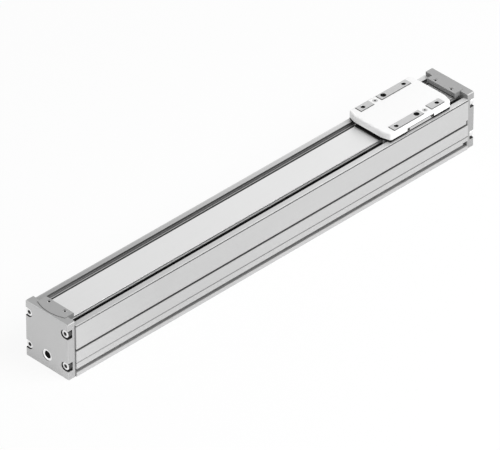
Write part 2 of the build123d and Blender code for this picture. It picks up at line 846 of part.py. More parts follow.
# Screws that hold the slide body on the runner
runner_screw_seat = web_top - m4_head_height - running_gap
with BuildPart() as runner_screws:
    with BuildSketch(Plane.XY.offset(runner_screw_seat)):
        with Locations(*runner_screw_places):
            Circle(m4_head)
    extrude(amount=m4_head_height)
    chamfer(runner_screws.edges().group_by(Axis.Z)[-1], screw_edge_chamfer)
    with BuildSketch(Plane.XY.offset(runner_screw_seat + m4_head_height)):
        with Locations(*runner_screw_places):
            RegularPolygon(hexagon_radius(m4_socket), 6)
    extrude(amount=-m4_socket_depth, mode=Mode.SUBTRACT)
    with BuildSketch(Plane.XY.offset(runner_top - runner_screw_reach)):
        with Locations(*runner_screw_places):
            Circle(m4_shank)
    extrude(amount=runner_screw_seat - runner_top + runner_screw_reach)
runner_screws.part.label = "runner_screws"
export_step(runner_screws.part, "parts/runner_screws.step")

# Grease nipples, two in each flank of the slide body
with BuildPart() as grease_nipples:
    for side in (-1, 1):
        nipple_places = [(side * (carriage_x + i * nipple_column), nipple_height) for i in (-1, 1)]
        with BuildSketch(side_plane(side, carriage_width / 2 - window_recess)):
            with Locations(*nipple_places):
                Circle(nipple_radius)
                Circle(nipple_bore_radius, mode=Mode.SUBTRACT)
        extrude(amount=nipple_length)
grease_nipples.part.label = "grease_nipples"
export_step(grease_nipples.part, "parts/grease_nipples.step")

# Magnets in the web that the sensors in the side grooves detect
with BuildPart() as sensor_magnets:
    for side in (-1, 1):
        with BuildSketch(side_plane(side, web_half)):
            with Locations((side * carriage_x, runner_top + slide_web_thickness / 2)):
                Circle(magnet_radius)
        extrude(amount=magnet_thickness)
sensor_magnets.part.label = "sensor_magnets"
export_step(sensor_magnets.part, "parts/sensor_magnets.step")

# Wipers that ride just above the strip at both ends of the carriage
for end_name, end_sign in ENDS:
    with BuildPart() as strip_wiper:
        with BuildSketch(Plane.XZ.offset(-strip_width / 2)):
            notch_x = carriage_x + end_sign * wiper_x
            face_x = notch_x + end_sign * wiper_thickness
            lip_x = face_x - end_sign * wiper_lip_thickness
            with BuildLine():
                Polyline(
                    (face_x, wiper_bottom),
                    (face_x, wiper_bottom + wiper_height),
                    (notch_x, wiper_bottom + wiper_height),
                    (notch_x, slide_bottom + wiper_lip_height),
                    (lip_x, slide_bottom),
                    (lip_x, wiper_bottom),
                    close=True,
                )
            make_face()
        extrude(amount=strip_width)
    strip_wiper.part.label = f"{end_name}_strip_wiper"
    export_step(strip_wiper.part, f"parts/{end_name}_strip_wiper.step")
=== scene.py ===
import json
import math

import bmesh
import bpy
from bpy.props import FloatProperty, FloatVectorProperty, PointerProperty
from bpy.types import Operator, Panel, PropertyGroup
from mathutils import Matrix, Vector


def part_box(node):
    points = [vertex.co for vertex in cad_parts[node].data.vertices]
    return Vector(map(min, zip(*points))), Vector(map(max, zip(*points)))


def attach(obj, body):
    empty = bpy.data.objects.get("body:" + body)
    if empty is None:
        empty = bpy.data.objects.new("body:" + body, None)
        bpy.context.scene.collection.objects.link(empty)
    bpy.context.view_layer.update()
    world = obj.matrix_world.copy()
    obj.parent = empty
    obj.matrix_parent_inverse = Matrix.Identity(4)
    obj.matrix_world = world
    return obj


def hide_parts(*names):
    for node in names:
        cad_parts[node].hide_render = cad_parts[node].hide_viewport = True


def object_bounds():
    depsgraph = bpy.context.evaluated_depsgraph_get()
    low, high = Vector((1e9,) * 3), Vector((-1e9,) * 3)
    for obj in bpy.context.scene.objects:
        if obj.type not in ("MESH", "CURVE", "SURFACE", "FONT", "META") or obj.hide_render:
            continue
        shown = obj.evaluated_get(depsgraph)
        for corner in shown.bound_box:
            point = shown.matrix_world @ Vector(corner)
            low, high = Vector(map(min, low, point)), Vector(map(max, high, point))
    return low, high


bl_info = {
    "name": "Guide Axis Looks",
    "version": (1, 0, 0),
    "blender": (4, 5, 0),
    "location": "View3D > Sidebar > Guide Axis",
    "description": "Dresses a passive guide axis in its finished surfaces, on a pale studio floor",
    "category": "Object",
}

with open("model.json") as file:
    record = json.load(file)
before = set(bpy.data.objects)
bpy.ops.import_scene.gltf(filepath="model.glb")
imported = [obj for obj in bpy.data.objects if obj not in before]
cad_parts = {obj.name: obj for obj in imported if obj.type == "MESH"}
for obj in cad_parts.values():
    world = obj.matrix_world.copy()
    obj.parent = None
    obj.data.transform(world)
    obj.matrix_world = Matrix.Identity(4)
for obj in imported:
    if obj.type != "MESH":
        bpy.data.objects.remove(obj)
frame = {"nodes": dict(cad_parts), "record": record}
CAD_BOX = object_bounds()
MOUNTS = {mount["name"]: mount for mount in frame["record"]["mounts"]}

MM = 0.001
SIDES = (-1, 1)
ROUND_SIDES = 48
SMALL_SIDES = 32
ARC_SIDES = 360
SAME = 1e-5
NEAR = 0.1 * MM
MARGIN = 0.5 * MM
FREE_GAP = 0.4 * MM
FIT_GAP = 0.1 * MM
THREAD_GAP = 0.05 * MM
TURNS = {"X": (0, math.pi / 2, 0), "Y": (math.pi / 2, 0, 0), "Z": (0, 0, 0)}

# Parts of a unit normal: the least for a face that looks straight along an axis, more
# along it than not, and a little along it
STRAIGHT = 0.9
HALFWAY = 0.5
SLIGHT = 0.3

# Finishes, with the grains per metre on each axis
WHITE = (1, 1, 1, 1)
BLASTED = (1500, 1500, 1500)
MILLED = (60, 1300, 1300)
TURNED = (900, 900, 900)
ROUGHNESS_SWING = 0.07

# Places read from the frame
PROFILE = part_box("guide_profile")
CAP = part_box("front_end_cap")
CAP_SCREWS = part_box("front_cap_screws")
CLAMP_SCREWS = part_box("front_clamp_screws")
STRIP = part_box("cover_strip")
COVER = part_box("slide_cover")
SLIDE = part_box("slide_body")
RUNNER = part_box("runner_block")
COVER_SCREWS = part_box("cover_screws")
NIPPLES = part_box("grease_nipples")
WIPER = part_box("front_strip_wiper")
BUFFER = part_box("front_stop_buffer")
CLAMP_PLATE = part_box("front_strip_clamp")


def mount_place(name):
    """Place of a mount, in metres."""
    return Vector(MOUNTS[name]["pos_m"])


def mount_size(name, key):
    """One size of a mount, in metres."""
    return MOUNTS[name]["dims"][key] * MM


CARRIAGE_X = mount_place("payload_bolts").x
HOLE_COLUMN = mount_size("payload_bolts", "spacing_x_mm") / 2
PAD_ROW = mount_size("payload_bolts", "spacing_y_mm") / 2
BOLT_RADIUS = mount_size("payload_bolts", "hole_r_mm")
CENTRING_RADIUS = mount_size("payload_centring_left", "r_mm")
CENTRING_DEPTH = mount_size("payload_centring_left", "length_mm")
PORT_HEIGHT = mount_place("front_air_port").z
PORT_RADIUS = mount_size("front_air_port", "r_mm")

# Profile
SKIN_DEPTH = 0.3 * MM
FLANGE_DEPTH = 1.6 * MM
SLIT_OUTER = 24.1 * MM
RIB_TOP = 56.2 * MM
RIB_BAND = 0.15 * MM
END_SKIN = 0.1 * MM
TEE_TOP = 12.0 * MM
# Painted shade, as shares of darkening: in the tee slot, in the other grooves, in the right and left slits,
# and on the rib seen through them
TEE_SHADE = 0.35
GROOVE_SHADE = 0.66
SLIT_SHADE = 0.3
LEFT_SLIT_SHADE = 0.75
RIB_SHADE = 0.2
# Painted light and shade on the flange tops: shade that grows towards the front end, more of it on the left,
# painted light all along, and a painted highlight along the outer edges
FLANGE_SHADE = 0.35
FLANGE_LIGHT = 0.2
LEFT_SHADE = 0.25
CORNER_WIDTH = 1.5 * MM
CORNER_HIGHLIGHT = 0.15
# Painted light on the profile below its top, growing over the front fifth of its length
FRONT_LIGHT = 0.6
FRONT_START = 0.8
FOLD_WIDTH = 1.4 * MM
FOLD_SHADE = 0.5
STRIP_SHADE = 0.14
# Height, half width and painted shade of each scribed line
SCRIBED_LINES = ((15.7 * MM, 0.6 * MM, 0.7), (58.0 * MM, 0.65 * MM, 0.85))

# End caps
CAP_THICKNESS = 9.8 * MM
CAP_TOP = 63.9 * MM
BLOCK_HALF = 18.8 * MM
BLOCK_APEX = 2.2 * MM
BLOCK_ARC_DEPTH = 4.25 * MM
BLOCK_GAP = 0.2 * MM
SHELF_DROP = 0.8 * MM
SHELF_HEIGHT = 6.0 * MM
SHELF_HALF = 15.6 * MM
BOSS_RADIUS = 7.0 * MM
BOSS_LENGTH = 6.0 * MM
POCKET_RADIUS = 4.75 * MM
POCKET_DEPTH = 5.9 * MM
SCREW_BORE_RADIUS = 2.6 * MM
PORT_FACE_RADIUS = 6.2 * MM
PORT_FACE_DEPTH = 0.4 * MM
PORT_THREAD = 0.4 * MM
PORT_CHAMFER = 0.3 * MM
PORT_CONE = PORT_THREAD + PORT_CHAMFER
CHANNEL_INSET = 0.4 * MM
SPIGOT_RADIUS = 2.55 * MM
SPIGOT_DEPTH = 4.0 * MM
FACE_BAND = 1.2 * MM
TOP_BAND = 1.3 * MM
STEP_FOOT = 0.02 * MM
STEP_MARGIN = 0.3 * MM
POCKET_RIM = 0.3 * MM

# Carriage
HALF_LENGTH = (COVER[1].x - COVER[0].x) / 2
HALF_WIDTH = COVER[1].y
NOSE_LENGTH = 3.0 * MM
NOSE_WIDTH = 10.2 * MM
COVER_WALL = 2.0 * MM
COVER_ROOF = 1.9 * MM
SLIDE_TOP = COVER[1].z - COVER_ROOF
PAD_TOP = SLIDE[1].z
PAD_WIDTH = 8.2 * MM
PAD_END = 6.4 * MM
PAD_MIDDLE = 6.0 * MM
SHORT_PAD = 17.5 * MM
PAD_GROOVE = 0.4 * MM
NOSE_LIFT = 2.1 * MM
# The cover's set-back lower rim, painted black as shade in the gap above the profile
RIM_HEIGHT = 2.5 * MM
RIM_DEPTH = 0.3 * MM
# A black lip on each wiper that runs out under the carriage's nose, standing in for the shade in the gap
# there
LIP_REACH = 3.6 * MM
LIP_HEIGHT = 1.5 * MM
LIP_THICKNESS = 0.7 * MM
BOLT_DEPTH = 9.0 * MM
WINDOW_HALF = 18.4 * MM
WINDOW_HEIGHT = 5.6 * MM
WINDOW_RECESS = 0.5 * MM
WINDOW_GAP = 1.1 * MM
# A sill below each flank, painted dark as shade under the window
SILL_HEIGHT = 1.6 * MM
SILL_RECESS = 0.7 * MM
WEB_TOP = RUNNER[1].z + 8.0 * MM
WEB_HALF = 22.8 * MM
NECK_INNER = 18.0 * MM
NECK_OUTER = 20.5 * MM
FLANK_TOP = 46.3 * MM
RUNNER_SCREW = (13.0 * MM, 13.0 * MM)
NOTCH_INSET = 0.7 * MM
BOLT_THREAD = 0.22 * MM
BOLT_CREST = 0.3 * MM
TAP_DEPTH = 5.4 * MM
THROUGH = 30 * MM
PILOT = 4 * MM
HOLE_MARGIN = 0.3 * MM
FLANK_FACING = 0.6

# Screws
M5_HEAD = 4.25 * MM
M5_HEAD_HEIGHT = 5.0 * MM
M5_SHANK = 2.5 * MM
M5_SOCKET = 4.0 * MM
M5_SOCKET_DEPTH = 2.5 * MM
SET_RADIUS = 2.0 * MM
SET_SOCKET = 2.5 * MM
SET_SOCKET_DEPTH = 1.8 * MM
M4_HEAD = 3.6 * MM
M4_BORE = 2.1 * MM
M4_SEAT = 4.1 * MM
M3_HEAD = 2.75 * MM
M3_SHANK = 1.5 * MM
M3_SOCKET = 2.0 * MM
M3_SOCKET_DEPTH = 1.0 * MM
NIPPLE_RADIUS = 1.4 * MM
NIPPLE_BORE = 0.6 * MM
NIPPLE_LENGTH = 4.0 * MM
NIPPLE_RIM = 0.35 * MM
NIPPLE_DISH = 0.5 * MM
NIPPLE_DEPTH = 2.5 * MM
NIPPLE_HOLE_DEPTH = 4.4 * MM
M5_BEVEL = 0.4 * MM
SET_BEVEL = 0.3 * MM
SCREW_DROP = 0.05 * MM
KNURL_DEPTH = 0.3 * MM
M5_SOCKET_RIM = 0.3 * MM
SET_SOCKET_RIM = 0.1 * MM
M3_SOCKET_RIM = 0.05 * MM

# Studio
FLOOR_SIZE = 40
FLOOR_GAP = 0.2 * MM
FLOOR_SWING = 0.01
AIM_HEIGHT = 30 * MM
AIM_LEFT = 3.86 * MM
AIM_DOWN = 2.43 * MM


def length_value(name, description, default, smallest=0.0):
    """Property for a size, in metres."""
    return FloatProperty(name=name, description=description, default=default, min=smallest, unit="LENGTH")


def grey_value(name, description, grey):
    """Property for a colour whose default is a grey."""
    return FloatVectorProperty(
        name=name, description=description, subtype="COLOR", default=(grey, grey, grey), min=0.0, max=1.0
    )


class GuideAxisSizes(PropertyGroup):
    """Sizes of the edges and small details"""

    cap_edge: length_value("Cap edge", "Radius of the outer edges of the end caps", 1.2 * MM)
    block_edge: length_value(
        "Block edge", "Radius of the top edges of the raised block on each cap", 0.5 * MM
    )
    cover_edge: length_value("Cover edge", "Radius of the top edges of the carriage cover", 1.6 * MM)
    cover_corner: length_value(
        "Cover corner", "Radius of the upright edges of the carriage cover", 1.9 * MM
    )
    small_edge: length_value(
        "Small edge", "Radius of the deburred edges of machined and moulded pieces", 0.25 * MM
    )
    hole_chamfer: length_value(
        "Hole chamfer", "Width of the chamfer round each mounting hole", 0.45 * MM
    )
    thread_pitch: length_value(
        "Thread pitch",
        "Distance between the thread rings in the ports and mounting holes",
        0.9 * MM,
        smallest=0.1 * MM,
    )


class GuideAxisColours(PropertyGroup):
    """Colours of the finishes"""

    anodised: grey_value("Profile", "Clear anodised aluminium of the profile", 0.585)
    cast: grey_value("End caps", "Blasted cast aluminium of the end caps", 0.40)
    milled_face_and_light: grey_value("Cap faces", "Milled outer faces of the end caps", 0.68)
    # Lighter than the cast finish, partly as painted light on the caps' front faces and as painted highlights
    # on their top bevels
    machined: grey_value("Machined faces", "Turned and milled faces of the caps", 0.95)
    strip: grey_value("Cover strip", "Brushed steel of the strip along the top", 0.82)
    pads: grey_value("Slide", "Milled aluminium of the slide and its mounting pads", 0.58)
    cover: grey_value("Carriage cover", "White plastic of the carriage cover", 0.96)
    steel: grey_value("Screws", "Zinc plated steel of the visible screws", 0.86)
    # dark also gives the painted shade in the carriage's gaps, on the cover's rim, in the sockets and in the
    # bores
    dark: grey_value("Bores", "Oiled threads and the black pieces inside", 0.02)


class GuideAxisStudio(PropertyGroup):
    """Camera, lamps and floor"""

    azimuth: FloatProperty(
        name="Azimuth",
        description="Side from which the camera looks, turned about the vertical",
        default=math.radians(-44.70),
        subtype="ANGLE",
    )
    elevation: FloatProperty(
        name="Elevation",
        description="Height of the camera above the horizon",
        default=math.radians(35.65),
        subtype="ANGLE",
    )
    distance: FloatProperty(
        name="Distance",
        description="From the camera to the point that it looks at",
        default=7.4906,
        min=0.1,
        unit="LENGTH",
    )
    lens: FloatProperty(
        name="Focal length",
        description="Focal length of the camera in millimetres, on a sensor 36 mm wide",
        default=564.3,
        min=1.0,
    )
    floor_white: FloatProperty(
        name="Floor",
        description="Brightness of the floor, where 1 is white",
        default=0.95,
        min=0.0,
        max=1.0,
        subtype="FACTOR",
    )
    floor_glow: FloatProperty(
        name="Backdrop share",
        description="How far the floor fades into the white backdrop in front of the camera",
        default=0.9,
        min=0.0,
        max=1.0,
        subtype="FACTOR",
    )
    ambient: FloatProperty(
        name="Ambient",
        description="Level of the even light from all round",
        default=0.45,
        min=0.0,
    )
    key_power: FloatProperty(
        name="Key lamp",
        description="Power of the large lamp above the visible long side",
        default=21.0,
        min=0.0,
        subtype="POWER",
    )
    fill_power: FloatProperty(
        name="Fill lamp",
        description="Power of the lamp on the side of the near end cap",
        default=5.0,
        min=0.0,
        subtype="POWER",
    )


# Choosing and moving things


def clear_choice():
    """Leave edit mode and select nothing."""
    if bpy.context.mode != "OBJECT":
        bpy.ops.object.mode_set(mode="OBJECT")
    bpy.ops.object.select_all(action="DESELECT")


def choose(piece):
    """Make one piece the only selected one, and active."""
    clear_choice()
    piece.select_set(True)
    bpy.context.view_layer.objects.active = piece


def remove(piece):
    """Delete a piece."""
    choose(piece)
    bpy.ops.object.delete()


def settle(piece):
    """Move a piece's place, turn and scale from its object into its mesh."""
    choose(piece)
    bpy.ops.object.transform_apply(location=True, rotation=True, scale=True)
    return piece


def add_box(name, low, high):
    """Box between two corners, as the start of a piece or of a cut."""
    clear_choice()
    low, high = Vector(low), Vector(high)
    bpy.ops.mesh.primitive_cube_add(size=1, location=(low + high) / 2, scale=high - low)
    piece = bpy.context.object
    piece.name = name
    return settle(piece)


def side_box(name, side, along, across, upright):
    """Box on one side of the middle plane, between pairs of ends; those across count outwards."""
    near, far = sorted((side * across[0], side * across[1]))
    return add_box(name, (along[0], near, upright[0]), (along[1], far, upright[1]))


def add_rod(name, centre, radius, length, axis="Z", sides=ROUND_SIDES):
    """Cylinder or prism about a line along one axis."""
    clear_choice()
    bpy.ops.mesh.primitive_cylinder_add(
        vertices=sides, radius=radius, depth=length, location=centre, rotation=TURNS[axis]
    )
    piece = bpy.context.object
    piece.name = name
    return settle(piece)


def edit_parts(piece, kind, test):
    """Enter edit mode with just the corners, edges or faces selected that pass a test."""
    choose(piece)
    bpy.ops.object.mode_set(mode="EDIT")
    bpy.ops.mesh.select_mode(type=kind)
    bpy.ops.mesh.select_all(action="DESELECT")
    mesh = bmesh.from_edit_mesh(piece.data)
    for part in {"VERT": mesh.verts, "EDGE": mesh.edges, "FACE": mesh.faces}[kind]:
        part.select_set(bool(test(part)))
    bmesh.update_edit_mesh(piece.data)


def edit_faces(piece, test):
    """Enter edit mode with just the faces selected that pass a test."""
    edit_parts(piece, "FACE", test)


def edit_edges(piece, test):
    """Enter edit mode with just the edges selected whose two ends pass a test."""
    edit_parts(piece, "EDGE", lambda edge: test(edge.verts[0].co, edge.verts[1].co))


def leave_edit():
    """Go back to object mode."""
    bpy.ops.object.mode_set(mode="OBJECT")


def draw_out(*move):
    """Extrude the selected faces."""
    bpy.ops.mesh.extrude_region_move(TRANSFORM_OT_translate={"value": move})


def widen(share):
    """Scale what is selected away from the upright line through the origin."""
    bpy.ops.transform.resize(value=(share, share, 1), center_override=(0, 0, 0))


def bevel_edges(piece, test, radius, segments):
    """Round just the edges whose two ends pass a test."""
    edit_edges(piece, test)
    bpy.ops.mesh.bevel(offset=radius, segments=segments, affect="EDGES")
    leave_edit()


def slice_piece(piece, place, normal, **choices):
    """Cut through a whole piece on a plane."""
    choose(piece)
    bpy.ops.object.mode_set(mode="EDIT")
    bpy.ops.mesh.select_all(action="SELECT")
    bpy.ops.mesh.bisect(plane_co=place, plane_no=normal, **choices)
    leave_edit()


def use_modifier(piece, kind, **settings):
    """Add a modifier to a piece and apply it."""
    choose(piece)
    bpy.ops.object.modifier_add(type=kind)
    modifier = piece.modifiers[-1]
    for name, value in settings.items():
        setattr(modifier, name, value)
    bpy.ops.object.modifier_apply(modifier=modifier.name)


def combine(piece, tool, operation="DIFFERENCE"):
    """Cut a piece with a tool, or join or cross them, and remove the tool."""
    use_modifier(piece, "BOOLEAN", operation=operation, solver="EXACT", object=tool)
    remove(tool)


def round_edges(piece, radius, segments=2, angle=math.radians(35)):
    """Round every sharp edge of a piece a little, and shade its curves smooth."""
    use_modifier(
        piece,
        "BEVEL",
        width=radius,
        segments=segments,
        limit_method="ANGLE",
        angle_limit=angle,
        use_clamp_overlap=True,
    )
    bpy.ops.object.shade_smooth_by_angle(angle=angle)
    use_modifier(piece, "WEIGHTED_NORMAL", keep_sharp=True)


def place_copy(piece, name, move, turn=(0, 0, 0)):
    """Copy of a piece with its own mesh, turned and then moved."""
    choose(piece)
    bpy.ops.object.duplicate()
    copy = bpy.context.object
    copy.name = name
    copy.rotation_euler = turn
    copy.location = move
    return settle(copy)


def join(name, pieces):
    """Join some pieces into one object."""
    choose(pieces[0])
    for piece in pieces[1:]:
        piece.select_set(True)
    bpy.ops.object.join()
    pieces[0].name = name
    return pieces[0]


def stand_in(piece, node):
    """Let a piece stand for a node of the frame, on that node's body."""
    body = next(b for b, members in frame["record"]["behaviour"]["bodies"].items() if node in members)
    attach(piece, body)
    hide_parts(node)


# Finishes


def finish_of(name):
    """A finish made earlier, by its name."""
    return bpy.data.materials[f"{name}_finish"]


def paint(piece, name):
    """Give a piece one finish all over."""
    piece.data.materials.clear()
    piece.data.materials.append(finish_of(name))


def paint_faces(piece, name, test):
    """Give the faces that pass a test another finish."""
    finish = finish_of(name)
    if finish.name not in piece.data.materials:
        piece.data.materials.append(finish)
    index = piece.data.materials.find(finish.name)
    for face in piece.data.polygons:
        if test(face.center, face.normal):
            face.material_index = index


def add_node(tree, kind, sockets=None, **settings):
    """Node of a kind, with its own settings and with sockets set to values or linked to outputs."""
    node = tree.nodes.new(kind)
    for name, value in settings.items():
        setattr(node, name, value)
    for name, value in (sockets or {}).items():
        if isinstance(value, bpy.types.NodeSocket):
            tree.links.new(value, node.inputs[name])
        else:
            node.inputs[name].default_value = value
    return node


def calculate(tree, operation, *values):
    """Output of a maths node whose inputs are numbers or other outputs."""
    return add_node(tree, "ShaderNodeMath", dict(enumerate(values)), operation=operation).outputs["Value"]


def grained(name, colour, metallic, roughness, grain, contrast=0.05, relief=0.02, blotch=0.02, shine=0.5):
    """Finish with a fine grain stretched along the axes, and broad faint blotches."""
    material = bpy.data.materials.new(f"{name}_finish")
    material.use_nodes = True
    tree = material.node_tree
    shader = tree.nodes["Principled BSDF"]
    shader.inputs["Metallic"].default_value = metallic
    shader.inputs["Specular IOR Level"].default_value = shine

    place = add_node(tree, "ShaderNodeTexCoord").outputs["Object"]
    stretched = add_node(tree, "ShaderNodeMapping", {"Scale": grain, "Vector": place}).outputs["Vector"]
    fine_sockets = {"Scale": 1.0, "Detail": 5.0, "Roughness": 0.6, "Vector": stretched}
    fine = add_node(tree, "ShaderNodeTexNoise", fine_sockets).outputs["Fac"]
    broad_sockets = {"Scale": 14.0, "Detail": 3.0, "Vector": place}
    broad = add_node(tree, "ShaderNodeTexNoise", broad_sockets).outputs["Fac"]

    darker = (*[c * (1 - contrast) for c in colour], 1)
    lighter = (*[min(1, c * (1 + contrast)) for c in colour], 1)
    tint = add_node(tree, "ShaderNodeMix", {"A": darker, "B": lighter, "Factor": fine}, data_type="RGBA")
    shade = add_node(tree, "ShaderNodeMapRange", {"To Min": 1 - blotch, "To Max": 1 + blotch, "Value": broad})
    blend_sockets = {"Vector": tint.outputs["Result"], "Scale": shade.outputs["Result"]}
    blend = add_node(tree, "ShaderNodeVectorMath", blend_sockets, operation="SCALE")
    tree.links.new(blend.outputs["Vector"], shader.inputs["Base Color"])

    dull_ends = {
        "To Min": max(0.02, roughness - ROUGHNESS_SWING),
        "To Max": min(1.0, roughness + ROUGHNESS_SWING),
    }
    dullness = add_node(tree, "ShaderNodeMapRange", {**dull_ends, "Value": fine})
    tree.links.new(dullness.outputs["Result"], shader.inputs["Roughness"])
    bump = add_node(tree, "ShaderNodeBump", {"Strength": 0.5, "Distance": relief * MM, "Height": fine})
    tree.links.new(bump.outputs["Normal"], shader.inputs["Normal"])


def darken(material, share):
    """Paint shade into a finish: lower its colour and gloss by a share that an output gives, from 0 to 1; a
    share below 0 paints light instead.
    """
    tree = material.node_tree
    shader = tree.nodes["Principled BSDF"]
    colour = shader.inputs["Base Color"].links[0].from_socket
    gloss = shader.inputs["Specular IOR Level"]
    kept = calculate(tree, "SUBTRACT", 1.0, share)
    shade = add_node(tree, "ShaderNodeVectorMath", {"Vector": colour, "Scale": kept}, operation="SCALE")
    tree.links.new(shade.outputs["Vector"], shader.inputs["Base Color"])
    tree.links.new(calculate(tree, "MULTIPLY", kept, gloss.default_value), gloss)


def place_outputs(tree):
    """Place along, across and above the origin."""
    place = add_node(tree, "ShaderNodeTexCoord").outputs["Object"]
    split = add_node(tree, "ShaderNodeSeparateXYZ", {"Vector": place})
    return [split.outputs[axis] for axis in "XYZ"]


def paint_profile_shade(material):
    """Painted light and shade on the profile: painted shade in the slits, grooves and scribed lines; on the
    flange tops painted light, painted shade that grows towards the front end and on the left, and a painted
    highlight along the outer edges; painted light on the walls near the front end.
    """
    tree = material.node_tree
    along, sideways, height = place_outputs(tree)

    def work(operation, *values):
        return calculate(tree, operation, *values)

    def between(share, low, high):
        return work("MULTIPLY_ADD", share, work("SUBTRACT", high, low), low)

    across = work("ABSOLUTE", sideways)
    on_left = work("GREATER_THAN", sideways, 0.0)
    not_end = work("LESS_THAN", work("ABSOLUTE", along), PROFILE[1].x - END_SKIN)
    within = work("MULTIPLY", not_end, work("GREATER_THAN", height, SKIN_DEPTH))

    # Painted shade in the grooves, the tee slot, the slits and on the rib, away from the ends and the bottom
    # skin
    under_skin = work("LESS_THAN", across, PROFILE[1].y - SKIN_DEPTH)
    below_flange = work("LESS_THAN", height, PROFILE[1].z - FLANGE_DEPTH)
    in_groove = work("MULTIPLY", under_skin, below_flange)
    in_tee = work("LESS_THAN", height, TEE_TOP)
    groove = work("MULTIPLY", in_groove, between(in_tee, GROOVE_SHADE, TEE_SHADE))
    in_slit = work("LESS_THAN", across, SLIT_OUTER)
    on_rib = work("COMPARE", height, RIB_TOP, RIB_BAND)
    slit = between(on_rib, between(on_left, SLIT_SHADE, LEFT_SLIT_SHADE), RIB_SHADE)
    share = work("MULTIPLY", between(in_slit, groove, slit), within)
    # Painted shade along each scribed line
    for line_height, half_width, soil in SCRIBED_LINES:
        line = work("MULTIPLY", work("COMPARE", height, line_height, half_width), soil)
        share = work("MAXIMUM", share, line)

    # Flange tops: painted shade growing towards the front end and more on the left, painted light all along,
    # and a painted highlight along the outer edges
    on_top = work("GREATER_THAN", height, PROFILE[1].z - END_SKIN)
    towards_front = work("MULTIPLY_ADD", along, -0.5 / PROFILE[1].x, 0.5)
    shade = work("MULTIPLY_ADD", towards_front, FLANGE_SHADE, -FLANGE_LIGHT)
    shade = work("MULTIPLY_ADD", work("MULTIPLY", on_left, towards_front), LEFT_SHADE, shade)
    on_corner = work("GREATER_THAN", across, PROFILE[1].y - CORNER_WIDTH)
    shade = work("MULTIPLY_ADD", on_corner, -CORNER_HIGHLIGHT, shade)
    share = work("MULTIPLY_ADD", shade, on_top, share)
    # Painted light on all but the top, near the front end
    at_front = work("MAXIMUM", work("SUBTRACT", towards_front, FRONT_START), 0.0)
    bright = work("MULTIPLY", at_front, work("SUBTRACT", 1.0, on_top))
    darken(material, work("MULTIPLY_ADD", bright, -FRONT_LIGHT, share))


def shade_strip(material):
    """Darken the strip's folds, and the strip itself a little towards the front end."""
    tree = material.node_tree
    along, sideways, _ = place_outputs(tree)
    across = calculate(tree, "ABSOLUTE", sideways)
    on_fold = calculate(tree, "GREATER_THAN", across, STRIP[1].y - FOLD_WIDTH)
    fold = calculate(tree, "MULTIPLY", on_fold, FOLD_SHADE)
    towards_front = calculate(tree, "MULTIPLY_ADD", along, -0.5 / STRIP[1].x, 0.5)
    shade = calculate(tree, "MULTIPLY", towards_front, STRIP_SHADE)
    darken(material, calculate(tree, "MAXIMUM", fold, shade))


